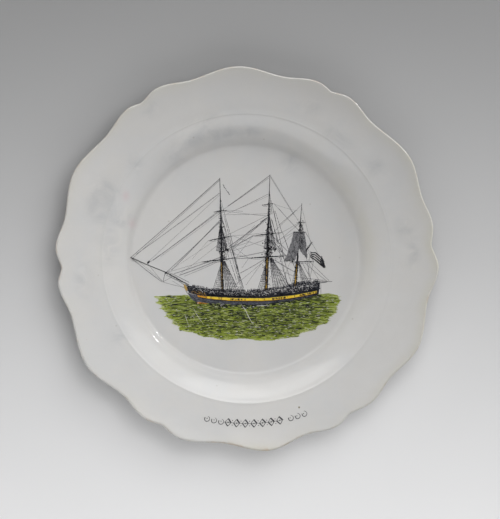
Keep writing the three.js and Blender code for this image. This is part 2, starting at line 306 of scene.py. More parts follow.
class N:
    """Small wrapper to write node trees tersely."""

    def __init__(self, nt):
        self.nt = nt

    def new(self, kind, **props):
        n = self.nt.nodes.new(kind)
        for k, v in props.items():
            setattr(n, k, v)
        return n

    def put(self, socket, value):
        if isinstance(value, bpy.types.NodeSocket):
            self.nt.links.new(value, socket)
        else:
            socket.default_value = value

    def obj(self):
        return self.new("ShaderNodeTexCoord").outputs["Object"]

    def attr(self, name):
        return self.new("ShaderNodeAttribute", attribute_name=name).outputs["Fac"]

    def scale(self, vec, s):
        m = self.new("ShaderNodeMapping")
        self.put(m.inputs["Vector"], vec)
        m.inputs["Scale"].default_value = s
        return m.outputs[0]

    def noise(self, vec, scale, detail=2.0, rough=0.5, dist=0.0):
        n = self.new("ShaderNodeTexNoise")
        self.put(n.inputs["Vector"], vec)
        n.inputs["Scale"].default_value = scale
        n.inputs["Detail"].default_value = detail
        n.inputs["Roughness"].default_value = rough
        n.inputs["Distortion"].default_value = dist
        return n.outputs["Fac"]

    def voronoi(self, vec, scale):
        n = self.new("ShaderNodeTexVoronoi")
        self.put(n.inputs["Vector"], vec)
        n.inputs["Scale"].default_value = scale
        return n.outputs["Distance"], n.outputs["Color"]

    def ramp(self, fac, stops):
        n = self.new("ShaderNodeValToRGB")
        self.put(n.inputs[0], fac)
        cr = n.color_ramp
        while len(cr.elements) < len(stops):
            cr.elements.new(0.5)
        for e, (p, c) in zip(cr.elements, stops):
            e.position = p
            e.color = (*c, 1) if isinstance(c, tuple) else (c, c, c, 1)
        return n.outputs[0]

    def math(self, op, a, b=0.0, c=0.0, clamp=False):
        n = self.new("ShaderNodeMath", operation=op, use_clamp=clamp)
        self.put(n.inputs[0], a)
        self.put(n.inputs[1], b)
        self.put(n.inputs[2], c)
        return n.outputs[0]

    def mix(self, fac, a, b, blend="MIX"):
        n = self.new("ShaderNodeMix", data_type="RGBA", blend_type=blend)
        self.put(n.inputs["Factor"], fac)
        self.put(n.inputs[6], (*a, 1) if isinstance(a, tuple) else a)
        self.put(n.inputs[7], (*b, 1) if isinstance(b, tuple) else b)
        return n.outputs[2]

    def bump(self, height, strength, distance, normal=None):
        n = self.new("ShaderNodeBump")
        self.put(n.inputs["Height"], height)
        n.inputs["Strength"].default_value = strength
        n.inputs["Distance"].default_value = distance
        if normal is not None:
            self.put(n.inputs["Normal"], normal)
        return n.outputs[0]


def glaze_material():
    """Greyish cream lead glaze on earthenware: cloudy stains, kiln specks, worn lip, soft undulation, and painted shade
    on the upper rim.
    """
    m, nt, b = material("glaze_face")
    n = N(nt)
    p = n.obj()
    cloud = n.noise(p, 14, 3, 0.55)
    base = n.ramp(cloud, [(0.3, (0.646, 0.640, 0.630)), (0.7, (0.688, 0.682, 0.672))])
    # blue-grey clouding, broken up by noise
    blotch = n.ramp(n.noise(n.scale(p, (1, 1.25, 1)), 62, 5, 0.62, 0.8), [(0.36, 0.0), (0.66, 1.0)])
    stain = n.math("MULTIPLY", n.attr("stain"), blotch)
    mott = n.noise(n.scale(p, (1, 1, 1)), 30, 5, 0.65, 0.4)
    base = n.mix(n.ramp(mott, [(0.42, 0.0), (0.70, 0.30)]), base, (0.665, 0.640, 0.595))
    base = n.mix(n.ramp(mott, [(0.30, 0.30), (0.52, 0.0)]), base, (0.600, 0.612, 0.625))
    col = n.mix(n.math("MULTIPLY", stain, 0.60), base, (0.466, 0.477, 0.490))
    # painted shade: the glaze's colour made greyer toward the top and upper right of the rim, standing in for shade
    # there
    col = n.mix(n.math("MULTIPLY", n.attr("rim_painted_shade"), n.ramp(cloud, [(0.3, 0.8), (0.7, 1.0)])), col, (0.50, 0.49, 0.475))
    # faint pink stains
    col = n.mix(n.math("MULTIPLY", n.attr("pink"), 0.35), col, (0.68, 0.50, 0.52))
    # slightly darker grey in the tooled line and at the foot of the wall
    col = n.mix(n.math("MULTIPLY", n.attr("crease"), 0.07), col, (0.45, 0.46, 0.44))
    # yellow-olive tone of thicker glaze close to the lip
    warm = n.math("MULTIPLY", n.attr("warm"), n.ramp(n.noise(p, 38, 3, 0.6), [(0.30, 0.25), (0.7, 1.0)]))
    col = n.mix(n.math("MULTIPLY", warm, 0.68), col, (0.60, 0.57, 0.44))
    # tan body showing where the lip is worn
    worn = n.math(
        "MULTIPLY", n.attr("lip"), n.ramp(n.noise(p, 120, 4, 0.65), [(0.50, 0.0), (0.66, 1.0)])
    )
    col = n.mix(n.math("MULTIPLY", worn, 0.75), col, (0.50, 0.38, 0.27))
    # kiln specks
    d, c = n.voronoi(p, 260)
    sep = n.new("ShaderNodeSeparateColor")
    n.put(sep.inputs[0], c)
    pick = n.math("GREATER_THAN", sep.outputs[0], 0.985)
    dot = n.ramp(d, [(0.10, 1.0), (0.20, 0.0)])
    speck = n.math("MULTIPLY", pick, dot)
    col = n.mix(n.math("MULTIPLY", speck, 0.30), col, (0.30, 0.26, 0.20))
    # bare, dusty foot ring
    foot = n.attr("foot")
    col = n.mix(foot, col, n.ramp(n.noise(p, 300, 3), [(0.3, (0.50, 0.42, 0.32)), (0.7, (0.66, 0.58, 0.46))]))
    n.put(b.inputs["Base Color"], col)
    r = n.ramp(n.noise(p, 45, 4, 0.6), [(0.3, 0.085), (0.75, 0.16)])
    r = n.math("ADD", r, n.math("MULTIPLY", worn, 0.22))
    r = n.math("ADD", r, n.math("MULTIPLY", foot, 0.45), clamp=True)
    n.put(b.inputs["Roughness"], r)
    b.inputs["IOR"].default_value = 1.55
    wave = n.noise(p, 55, 2, 0.5)
    peel = n.noise(p, 420, 3, 0.55)
    h = n.math("ADD", n.math("MULTIPLY", wave, 1.0), n.math("MULTIPLY", peel, 0.10))
    h = n.math("SUBTRACT", h, n.math("MULTIPLY", speck, 0.12))
    n.put(b.inputs["Normal"], n.bump(h, 0.35, 0.0006))
    return m


def ink_material(name, dark, light, streak=(1, 1, 1), scale=900, wear=(0.46, 0.70), rough=0.30):
    """Fired print: nearly black, blue-grey where the colour is thin or rubbed. tone 0 is thin, 1 is full."""
    m, nt, b = material(name)
    n = N(nt)
    p = n.obj()
    v = n.noise(n.scale(p, streak), scale, 3, 0.6)
    t = n.math("SUBTRACT", v, n.math("MULTIPLY", n.math("SUBTRACT", n.attr("tone"), 0.5), 0.5), clamp=True)
    col = n.ramp(t, [(wear[0], dark), (wear[1], light)])
    big = n.noise(p, 90, 2, 0.5)
    col = n.mix(n.ramp(big, [(0.50, 0.0), (0.80, 0.35)]), col, light)
    n.put(b.inputs["Base Color"], col)
    n.put(b.inputs["Roughness"], n.ramp(v, [(0.3, rough), (0.8, rough + 0.22)]))
    n.put(b.inputs["Normal"], n.bump(v, 0.25, 0.00008))
    return m


def enamel_material(name, stops, deep, streak=(1, 6, 1), scale=170, fine=900, spread=0.55):
    """Brushed-on enamel. tone picks the shade of a stroke, noise along the brush breaks it up."""
    m, nt, b = material(name)
    n = N(nt)
    p = n.obj()
    s = n.noise(n.scale(p, streak), scale, 4, 0.62, 0.3)
    t = n.math("ADD", n.attr("tone"), n.math("MULTIPLY", n.math("SUBTRACT", s, 0.5), spread * 2), clamp=True)
    col = n.ramp(t, stops)
    f = n.noise(n.scale(p, streak), fine, 3, 0.6)
    col = n.mix(n.ramp(f, [(0.42, 0.0), (0.80, 0.5)]), col, deep)
    n.put(b.inputs["Base Color"], col)
    n.put(b.inputs["Roughness"], n.ramp(f, [(0.3, 0.22), (0.8, 0.42)]))
    n.put(b.inputs["Normal"], n.bump(s, 0.4, 0.00012))
    return m


GLAZE = glaze_material()
INK = ink_material("ink_line", (0.012, 0.012, 0.016), (0.085, 0.085, 0.10))
INK_SOFT = ink_material("ink_fine_line", (0.050, 0.050, 0.056), (0.19, 0.19, 0.20))
INK_HULL = ink_material(
    "ink_hull", (0.012, 0.013, 0.020), (0.13, 0.135, 0.165), streak=(1, 4, 1), scale=700, wear=(0.44, 0.68)
)
INK_SAIL = ink_material(
    "ink_sail", (0.024, 0.024, 0.028), (0.24, 0.24, 0.25), streak=(3, 1, 1), scale=420, wear=(0.42, 0.66)
)
INK_SEA = ink_material("ink_wave", (0.010, 0.013, 0.008), (0.06, 0.075, 0.05), scale=1100)
GREEN = enamel_material(
    "enamel_green",
    [
        (0.0, (0.070, 0.090, 0.014)), (0.30, (0.140, 0.185, 0.022)), (0.55, (0.245, 0.315, 0.036)),
        (0.78, (0.380, 0.455, 0.070)), (1.0, (0.560, 0.600, 0.300)),
    ],
    (0.060, 0.078, 0.014), scale=240, spread=0.42,
)  # fmt: skip
YELLOW = enamel_material(
    "enamel_yellow",
    [(0.0, (0.42, 0.19, 0.010)), (0.35, (0.78, 0.44, 0.016)), (0.65, (0.90, 0.66, 0.045)), (1.0, (0.94, 0.79, 0.20))],
    (0.42, 0.20, 0.012), streak=(1, 5, 1), scale=300, spread=0.35,
)  # fmt: skip
ORANGE = enamel_material(
    "enamel_orange",
    [(0.0, (0.28, 0.10, 0.008)), (0.45, (0.62, 0.27, 0.015)), (1.0, (0.85, 0.52, 0.06))],
    (0.20, 0.08, 0.01), streak=(2, 2, 1), scale=420, spread=0.4,
)  # fmt: skip
TAN = enamel_material(
    "enamel_tan",
    [(0.0, (0.16, 0.085, 0.02)), (0.5, (0.46, 0.30, 0.085)), (1.0, (0.66, 0.48, 0.20))],
    (0.14, 0.08, 0.02), streak=(2, 2, 1), scale=420, spread=0.4,
)  # fmt: skip
GOLD = enamel_material(
    "enamel_gold",
    [(0.0, (0.14, 0.075, 0.008)), (0.45, (0.42, 0.245, 0.016)), (1.0, (0.86, 0.56, 0.06))],
    (0.10, 0.055, 0.01), streak=(4, 1, 1), scale=380, spread=0.40,
)  # fmt: skip


# =================================================================================================================
# the body
# =================================================================================================================
def build_body():
    seg = 540
    theta = np.arange(seg) * 2 * np.pi / seg
    edge = rim_radius(theta)  # mm
    lip_from = 1.7  # the lip's rounding starts this far inside the edge
    top_r = np.concatenate(
        [
            [10, 25, 40, 52, 62, 68, 71, 72.6],
            np.arange(73.4, 94.0, 0.55),
            np.arange(91.6, 95.4, 0.2),
            np.arange(96, 122.6, 1.1),
        ]
    )
    top_r = np.unique(np.round(top_r, 3))
    rings = []  # each: (radius array, z array)

    def place(nominal, outer_share):
        """Actual radius for a nominal radius: pulled in to the outline near the rim."""
        share = np.clip((nominal - 104.0) / (RIM - lip_from - 104.0), 0, 1) ** 1.5
        return nominal + (edge - RIM) * share

    for r in top_r:
        rr = place(r, 0)
        rings.append((rr, face_z(rr, theta)))
    # the lip: a rounded roll, a little fuller above, from face to underside
    zt = face_z(edge - lip_from, theta)
    slope = (face_z(edge - lip_from, theta) - face_z(edge - lip_from - 0.5, theta)) / 0.5
    for a in np.linspace(0, 1, 19):
        ang = np.pi * a  # 0 on the face, pi on the underside
        rad_in = lip_from
        x = edge - rad_in + rad_in * np.sin(ang) ** 0.72
        lift = slope * (x - (edge - rad_in)) * (1 - a) + 0.18 * np.sin(ang) * (1 - a)
        z = zt + lift - LIP_THICK * (0.5 - 0.5 * np.cos(ang))
        rings.append((x, z))
    under_z0 = zt - LIP_THICK
    # underside back to the foot ring
    for t in np.linspace(0.06, 1, 22):
        r = (edge - lip_from) * (1 - t) + 97.5 * t
        z = under_z0 * (1 - t) + _under(97.5) * t
        z = z - 0.35 * np.sin(np.pi * t)
        rings.append((r, z))
    for r in np.arange(96.5, 76.4, -0.9):
        rings.append((np.full(seg, r), np.full(seg, float(_under(r)))))
    for r, z in [
        (76.0, 0.95), (75.6, 0.42), (75.25, 0.14), (74.85, 0.02), (74.5, 0.0), (73.5, 0.0), (72.5, 0.0),
        (72.15, 0.03), (71.8, 0.2), (71.4, 0.6), (70.9, 1.15), (70.2, 1.55), (69.2, 1.75), (67.5, 1.82),
        (60, 1.85), (45, 1.85), (30, 1.85), (12, 1.85),
    ]:  # fmt: skip
        rings.append((np.full(seg, r), np.full(seg, z)))

    verts = []
    for r, z in rings:
        verts.append(np.stack([r * np.cos(theta), r * np.sin(theta), z + 0 * r], 1))
    nr = len(rings)
    verts = np.concatenate(verts)
    centre_top = len(verts)
    verts = np.concatenate([verts, [[0, 0, WELL_Z], [0, 0, 1.85]]])
    faces = []
    nxt = (np.arange(seg) + 1) % seg
    for j in range(nr - 1):
        a, b = j * seg, (j + 1) * seg
        faces += [(a + i, b + i, b + nxt[i], a + nxt[i]) for i in range(seg)]
    faces += [(centre_top, i, int(nxt[i])) for i in range(seg)]
    last = (nr - 1) * seg
    faces += [(centre_top + 1, last + int(nxt[i]), last + i) for i in range(seg)]
    faces = [tuple(int(k) for k in f) for f in faces]
    ob = new_object("plate_glazed", verts, faces, GLAZE, smooth=True, replaces=("plate_body",))

    # where the glaze is clouded, tinted or worn, and where shade is painted on the upper rim, as smooth fields over the
    # surface
    x, y, z = verts.T
    r = np.hypot(x, y)
    th = np.arctan2(y, x)
    face = np.concatenate([np.repeat([j < len(top_r) + 10 for j in range(nr)], seg), [True, False]])

    def spot(cx, cy, rx, ry, turn=0.0):
        c, s = math.cos(turn), math.sin(turn)
        dx, dy = x - cx, y - cy
        u, v = (c * dx + s * dy) / rx, (-s * dx + c * dy) / ry
        return np.exp(-(u * u + v * v))

    stain = 0.10 + 0 * x
    for s in [
        (-31, 79, 13, 6, 0.35), (-13, 81, 10, 4, 0.1), (-46, 68, 8, 6, 0.8), (4, 82, 6, 3, -0.1), (-26, 90, 12, 3, 0.25), (30, 64, 6, 5, 0.0),
        (-93, 31, 9, 9, 0), (-91, 44, 7, 7, 0), (-90, 8, 6, 10, 0), (-97, 36, 6, 8, 0), (-82, 26, 6, 6, 0), (-82, -52, 6, 6, 0),
        (102, 20, 5, 7, 0), (108, 4, 4, 8, 0), (60, 78, 9, 6, -0.7), (84, 60, 6, 6, 0),
        (-106, -14, 5, 10, 0.1), (40, 100, 8, 5, -0.4), (-62, 96, 6, 5, 0.6), (-72, 60, 5, 5, 0),
    ]:  # fmt: skip
        stain = stain + spot(*s)
    pink = spot(-78.5, 40, 2.4, 3.2) + 0.9 * spot(-74, 22.5, 2.6, 3.0) + 0.5 * spot(13, 58, 3, 2)
    deg = (90 - np.rad2deg(th)) % 360  # clockwise from the picture's up
    to_edge = np.concatenate([np.tile(edge, nr), [RIM, RIM]]) - r
    near = np.clip(1 - to_edge / 9.0, 0, 1) ** 1.5

    def toward(centre, width):
        d = (deg - centre + 180) % 360 - 180
        return np.exp(-((d / width) ** 2))

    warm = near * (0.25 + 0.75 * toward(95, 45) + 0.5 * toward(320, 30) + 0.6 * toward(176, 10))
    warm = warm + 0.5 * toward(70, 30) * np.exp(-(((r - 80) / 5) ** 2)) * face
    lip = np.clip(1 - to_edge / 1.4, 0, 1) * 0.75 + 1.1 * toward(176, 7) * np.clip(1 - to_edge / 3.2, 0, 1)
    crease = np.exp(-(((r - 94.9) / 0.7) ** 2)) + 0.25 * np.exp(-(((r - 75.5) / 2.2) ** 2))
    foot = ((r > 71.9) & (r < 75.0) & (z < 0.3)).astype(float)
    # painted shade: greyer glaze over the rim toward the upper right and the top, growing toward the edge
    rim_painted_shade = toward(28, 60) * (0.10 + 0.42 * np.clip((r - 104) / 16, 0, 1)) + 0.20 * toward(345, 60)
    for name, values in (
        ("stain", np.clip(stain, 0, 1) * face),
        ("rim_painted_shade", np.clip(rim_painted_shade * np.clip((r - 94) / 4, 0, 1), 0, 0.6) * face),
        ("pink", np.clip(pink, 0, 1) * face),
        ("warm", np.clip(warm, 0, 1)),
        ("lip", np.clip(lip, 0, 1)),
        ("crease", np.clip(crease, 0, 1) * face),
        ("foot", foot),
    ):
        a = ob.data.attributes.new(name, "FLOAT", "POINT")
        a.data.foreach_set("value", values.astype(np.float32))
    return ob


build_body()


# =================================================================================================================
# the drawing: a generic three-masted ship, in a sketch grid of tenths of a millimetre
# =================================================================================================================
def g(u, v):
    """Sketch grid to mm in the well: u to the right, v down, about a tenth of a millimetre each."""
    y = 60.0 - v * 0.1
    up = 0.45 * min(1.0, max(0.0, (y + 27.0) / 8.0))
    return (u * 0.1 - 82.0 + 0.25, 1.004 * y + 1.19 + up)


def curve_through(points):
    return pchip([p[0] for p in points], [p[1] for p in points])


rail = curve_through([(412, 776), (470, 797), (560, 810), (700, 824), (900, 822), (1080, 796), (1200, 774), (1310, 760)])
band_top = curve_through([(420, 826), (530, 850), (657, 859), (760, 863), (900, 864), (1100, 848), (1310, 812)])
band_low = curve_through([(420, 836), (530, 862), (657, 876), (760, 882), (900, 882), (1100, 865), (1310, 827)])
keel = curve_through([(440, 848), (500, 893), (620, 902), (750, 910), (900, 908), (1050, 892), (1200, 866), (1310, 840)])


def strip(f_top, f_low, u0, u1, n=40):
    us = np.linspace(u0, u1, n)
    return [g(u, float(f_low(u))) for u in us] + [g(u, float(f_top(u))) for u in us[::-1]]


def jitter(v, a):
    return v + rng.uniform(-a, a)


def clamp(x, lo, hi):
    return min(hi, max(lo, x))


# ---- sea --------------------------------------------------------------------------------------------------------
SEA = [
    (226, 857), (262, 880), (240, 896), (285, 914), (268, 936), (306, 956), (300, 985), (352, 1006), (345, 1030),
    (392, 1050), (384, 1070), (450, 1082), (500, 1096), (540, 1112), (600, 1116), (640, 1128), (700, 1134), (760, 1124),
    (850, 1124), (905, 1136), (1000, 1136), (1050, 1124), (1160, 1108), (1180, 1088), (1268, 1066), (1290, 1040),
    (1352, 1018), (1370, 982), (1408, 950), (1406, 915), (1434, 882), (1424, 846), (1370, 834), (1310, 842),
]  # fmt: skip


def ragged(points, amount, per=14):
    """The outline with small brush-end irregularities, mostly sideways."""
    out = []
    for a, b in zip(points, points[1:]):
        d = math.hypot(b[0] - a[0], b[1] - a[1])
        k = max(2, int(d / per))
        for j in range(k):
            t = j / k
            s = amount * (0.4 if j == 0 else 1.0)
            out.append((a[0] + (b[0] - a[0]) * t + rng.uniform(-s, s), a[1] + (b[1] - a[1]) * t + rng.uniform(-s, s) * 0.35))
    out.append(points[-1])
    return out


def inside(u, v, poly):
    hit = False
    n = len(poly)
    for i in range(n):
        (x1, y1), (x2, y2) = poly[i], poly[(i + 1) % n]
        if (y1 > v) != (y2 > v) and u < (x2 - x1) * (v - y1) / (y2 - y1) + x1:
            hit = not hit
    return hit


def hull_low(u):
    return float(keel(clamp(u, 470, 1310)))


def sea_place(grow=0.0):
    """A random place in the sea, clear of the hull."""
    while True:
        u, v = rng.uniform(228, 1440), rng.uniform(845, 1136)
        if inside(u, v, sea_poly) and not (455 < u < 1315 and v < hull_low(u) - grow):
            return u, v


def sea_depth(u, v):
    """0 at the ragged margin of the sea, 1 well inside it."""
    for k, d in enumerate((10, 20, 34, 52)):
        if not all(inside(u + du, v + dv, sea_poly) or (450 < u < 1320 and v + dv < hull_low(u)) or v < 880 and dv < 0
                   for du, dv in ((-d * 1.4, 0), (d * 1.4, 0), (0, d), (0, -d))):  # fmt: skip
            return k / 4
    return 1.0


sea_edge = ragged(SEA, 5, 18)
sea_top = [(u, float(keel(u)) - 6) for u in np.linspace(1300, 470, 36)]
sea_poly = sea_edge + sea_top + [(440, 846), (360, 850), (300, 852)]
sea = Film()
sea.patch([g(u, v) for u, v in sea_poly], lift=0.002, thick=0.03, tone=0.60)


def swell(u, v, length, bow, slant, n=6, kink=0.0):
    """Points of a wavelet: a shallow bow with an optional double curve."""
    return [
        g(u + length * t, v + bow * 4 * t * (1 - t) + slant * t + kink * math.sin(6.2832 * t))
        for t in np.linspace(0, 1, n)
    ]


# broad brush strokes of thicker and thinner green
for k in range(1500):
    u, v = sea_place()
    d = sea_depth(u, v)
    length = rng.uniform(18, 80)
    left = clamp((420 - u) / 200, 0, 1)
    right = clamp((u - 1250) / 150, 0, 1)
    t = rng.choice([0.06, 0.16, 0.34, 0.56, 0.80, 0.98]) * (0.66 + 0.34 * rng.random())
    t = t + 0.24 * (1 - d) + 0.16 * left + 0.10 * right
    if d < 0.3:
        length *= 0.6
    sea.ribbon(
        swell(u - length / 2, v, length, rng.uniform(-2.5, 2.5), rng.uniform(-3, 3)),
        rng.uniform(0.22, 0.62), lift=0.030 + 0.0018 * (k % 11), thick=0.012, wob=0.3, taper=0.4, tone=clamp(t, 0.02, 1.0),
    )
# brush ends that run out past the margin
edge_pts = sea_edge
for k in range(360):
    i = rng.randrange(len(edge_pts) - 1)
    (u1, v1), (u2, v2) = edge_pts[i], edge_pts[i + 1]
    t = rng.random()
    u, v = u1 + (u2 - u1) * t, v1 + (v2 - v1) * t
    out = -1 if u < 800 else 1
    low = clamp((abs(u - 830) - 330) / 250, 0, 1)  # 0 along the bottom, 1 at the two sides
    reach = rng.uniform(4, 15) * (0.35 + 0.65 * low)
    sea.ribbon(
        swell(u - out * rng.uniform(10, 30), v - 2, 0, 0, 0)[:1] + [g(u, v + 1), g(u + out * reach, v + 1 + 3 * (1 - low))],
        rng.uniform(0.3, 0.7), 0.12, lift=0.004 + 0.0016 * (k % 9), thick=0.03, tone=rng.uniform(0.72, 1.0),
    )
sea.make("sea_enamel_brushed", GREEN, "green_enamel", replaces=("sea_enamel",))

waves, pale = Film(), Film()
for k in range(2100):
    u, v = sea_place(grow=2)
    d = sea_depth(u, v)
    left = clamp((470 - u) / 220, 0, 1)
    right = clamp((u - 1230) / 160, 0, 1)
    keep = (0.25 + 0.75 * d) * (1 - 0.55 * left) * (1 - 0.55 * right)
    near = math.exp(-max(0.0, v - hull_low(u)) / 45) if 430 < u < 1330 else 0
    if rng.random() > keep:
        continue
    length = rng.choice([14, 22, 32, 44, 60]) * rng.uniform(0.8, 1.3) * (0.7 if d < 0.5 else 1.0)
    w = rng.choice([0.15, 0.22, 0.30, 0.44]) * rng.uniform(0.8, 1.2) * (1.0 + 0.4 * near)
    waves.ribbon(
        swell(u - length / 2, v, length, rng.choice([-2.6, -1.6, -0.6, 1.4, 2.6]), rng.uniform(-2.5, 2.5), 6, rng.uniform(-0.8, 0.8)),
        w, lift=0.064 + 0.0015 * (k % 7), thick=0.012, wob=0.35, taper=0.45, tone=rng.uniform(0.62, 1.05) - 0.45 * left,
    )
for k in range(300):  # long fine wavelets between the others
    u, v = sea_place(grow=4)
    if sea_depth(u, v) < 0.75:
        continue
    length = rng.uniform(46, 92)
    waves.ribbon(
        swell(u - length / 2, v, length, rng.uniform(-1.6, 1.6), rng.uniform(-3, 3), 8, rng.uniform(-1.4, 1.4)),
        rng.uniform(0.14, 0.24), lift=0.064 + 0.0015 * (k % 7), thick=0.012, wob=0.4, taper=0.4, tone=rng.uniform(0.0, 0.3),
    )
# the dark shadow of the hull on the water, broken into strokes
for k in range(240):
    u = rng.uniform(500, 1300)
    v = hull_low(u) + rng.uniform(0, 9) + (8 * rng.random() if u < 700 else 0)
    length = rng.uniform(8, 30)
    waves.ribbon(swell(u, v, length, rng.uniform(-1, 1), rng.uniform(-2, 2)), rng.uniform(0.2, 0.5), lift=0.074, thick=0.012, wob=0.3, taper=0.4, tone=0.9)
waves.make("sea_wave_print", INK_SEA, "ink")
for k in range(900):
    u, v = sea_place(grow=3)
    length = rng.choice([8, 14, 22, 34]) * rng.uniform(0.8, 1.2)
    pale.ribbon(
        swell(u - length / 2, v, length, rng.uniform(-2, 2), rng.uniform(-2, 2)), rng.uniform(0.16, 0.40),
        lift=0.090 + 0.0012 * (k % 5), thick=0.010, wob=0.3, taper=0.45, tone=rng.uniform(0.62, 1.0),
    )
pale.make("sea_highlight_brushed", GREEN, "green_enamel")

# ---- hull -------------------------------------------------------------------------------------------------------
hull, flecks = Film(), Film()
hull.patch(strip(lambda u: band_top(u) - 27, lambda u: band_top(u) + 1, 446, 1294), lift=0.004, thick=0.04, tone=0.40)
# heavy wale lines just over the band
for k, w in ((0, 0.62), (1, 0.42), (2, 0.34)):
    hull.ribbon([g(u, float(band_top(u)) - 6 - 8 * k + jitter(0, 0.5)) for u in np.linspace(470 + 10 * k, 1294, 56)], w, lift=0.045, thick=0.02, wob=0.3, tone=1.0)
hull.ribbon([g(u, float(rail(u))) for u in np.linspace(424, 1302, 60)], 0.20, lift=0.05, thick=0.02, wob=0.6, tone=0.5)
# transom and quarter
hull.patch([g(1280, 806), g(1296, 764), g(1305, 762), g(1296, 836), g(1282, 840)], lift=0.006, thick=0.045, tone=0.8)
hull.ribbon([g(1254, 764), g(1290, 758), g(1326, 754)], 0.34, 0.24, lift=0.05, thick=0.02, wob=0.4, tone=0.7)
# stem
hull.ribbon([g(416, 778), g(420, 802), g(434, 830), g(452, 846), g(478, 862), g(498, 886)], 0.34, lift=0.05, thick=0.02, wob=0.2, tone=0.8)
# busy bulwarks: timberheads, hammocks and blocks, all as short strokes
for k in range(2350):
    u = rng.uniform(440, 1290)
    top, low = float(rail(u)), float(band_top(u)) - 8
    if u > 1080 and rng.random() < 0.12:
        continue
    vv = top - 3 + (low - top) * rng.random() ** 0.80
    kind = rng.random()
    t = rng.uniform(0.35, 1.0)
    if kind < 0.40:
        hull.ribbon([g(u, vv), g(jitter(u, 1.8), vv + rng.uniform(4, 12))], rng.uniform(0.16, 0.46), lift=0.05, thick=0.02, tone=t)
    elif kind < 0.82:
        hull.ribbon([g(u, vv), g(u + rng.uniform(5, 16), jitter(vv, 2.6))], rng.uniform(0.14, 0.40), lift=0.056, thick=0.02, tone=t)
    else:
        hull.blob(*g(u, vv), rng.uniform(0.2, 0.5), lift=0.05, thick=0.02, tone=t)
# gear standing above the rail, thicker about the masts and on the quarterdeck
for k in range(460):
    if k % 3 == 0:
        u = rng.gauss(rng.choice([664, 955, 1140]), 34)
    elif k % 14 == 1:
        u = rng.uniform(1080, 1298)
    else:
        u = rng.uniform(470, 1290)
    if not 440 < u < 1302:
        continue
    top = float(rail(u))
    high = rng.uniform(2, 15) * (1.3 if u > 1120 else 1.0)
    hull.ribbon([g(u, top + rng.uniform(-4, 3)), g(jitter(u, 2), top - high)], rng.uniform(0.12, 0.28), lift=0.052, thick=0.02, tone=rng.uniform(0.3, 1))
    if rng.random() < 0.55:
        hull.ribbon([g(u - 6, top - high), g(u + rng.uniform(3, 10), jitter(top - high, 3))], rng.uniform(0.12, 0.24), lift=0.06, thick=0.02, tone=rng.uniform(0.3, 1))
for pts, w in (([(1150, 774), (1230, 764), (1316, 754)], 0.20), ([(1110, 792), (1200, 782), (1290, 772)], 0.22)):
    hull.ribbon([g(*p) for p in pts], w, lift=0.05, thick=0.02, wob=0.3, tone=0.8)
# bow rails and the head
for k in range(5):
    hull.ribbon([g(420 + 3 * k, 782 + 9 * k), g(470, 800 + 8 * k), g(530, 812 + 8 * k), g(580, 820 + 7 * k)], 0.26, 0.18, lift=0.05, thick=0.02, wob=0.4, tone=0.8)
for k in range(150):
    u = rng.uniform(424, 560)
    vv = float(rail(u)) + rng.uniform(0, 52)
    if u < 470 and vv > 790 + (u - 420) * 1.0:
        continue
    a = rng.uniform(0.4, 1.2)
    hull.ribbon([g(u, vv), g(u + 9 * math.cos(a), vv + 9 * math.sin(a))], rng.uniform(0.14, 0.32), lift=0.058, thick=0.02, tone=rng.uniform(0.4, 1))
for k in range(520):
    u = rng.uniform(470, 1290)
    vv = float(band_top(u)) - 6 - 16 * rng.random() ** 1.3
    hull.ribbon([g(u, vv), g(u + rng.uniform(8, 24), vv + float(band_top(u + 16)) - float(band_top(u)))], rng.uniform(0.2, 0.45), lift=0.062, thick=0.012, wob=0.3, tone=rng.uniform(0.7, 1.0))
hull.make("hull_upper_engraving", INK_HULL, "ink", replaces=("hull_upper_print",))
# unprinted flecks left between the strokes
for k in range(150):
    u = rng.uniform(470, 1280)
    top, low = float(rail(u)), float(band_top(u)) - 16
    vv = rng.uniform(top + 2, low)
    if rng.random() < 0.6:
        flecks.ribbon([g(u, vv), g(u + rng.uniform(3, 8), jitter(vv, 1))], rng.uniform(0.14, 0.30), lift=0.078, thick=0.01)
    else:
        flecks.ribbon([g(u, vv), g(jitter(u, 1), vv + rng.uniform(3, 7))], rng.uniform(0.12, 0.26), lift=0.078, thick=0.01)
flecks.make("hull_open_flecks", GLAZE, "glaze")

low = Film()
low.patch(strip(lambda u: band_low(u) - 1, keel, 452, 1292), lift=0.004, thick=0.045, tone=0.28)
low.patch([g(440, 834), g(470, 842), g(520, 852), g(520, 890), g(496, 890), g(470, 864), g(448, 848)], lift=0.003, thick=0.045, tone=0.25)
for k, w in ((0, 0.44), (1, 0.16), (2, 0.16)):
    low.ribbon([g(u, float(band_low(u)) + 4 + 8 * k + jitter(0, 0.6)) for u in np.linspace(520, 1288, 56)], w, lift=0.05, thick=0.02, wob=0.5, tone=0.9)
low.ribbon([g(u, float(keel(u)) - 1) for u in np.linspace(486, 1290, 56)], 0.40, lift=0.05, thick=0.02, wob=0.6, tone=0.9)
for k in range(260):
    u = rng.uniform(500, 1280)
    vv = rng.uniform(float(band_low(u)) + 4, float(keel(u)) - 2)
    low.ribbon([g(u, vv), g(u + rng.uniform(6, 22), vv + (float(keel(u + 14)) - float(keel(u))))], rng.uniform(0.10, 0.24), lift=0.054, thick=0.02, tone=rng.uniform(0.3, 1))
low.make("hull_lower_engraving", INK_HULL, "ink", replaces=("hull_lower_print",))

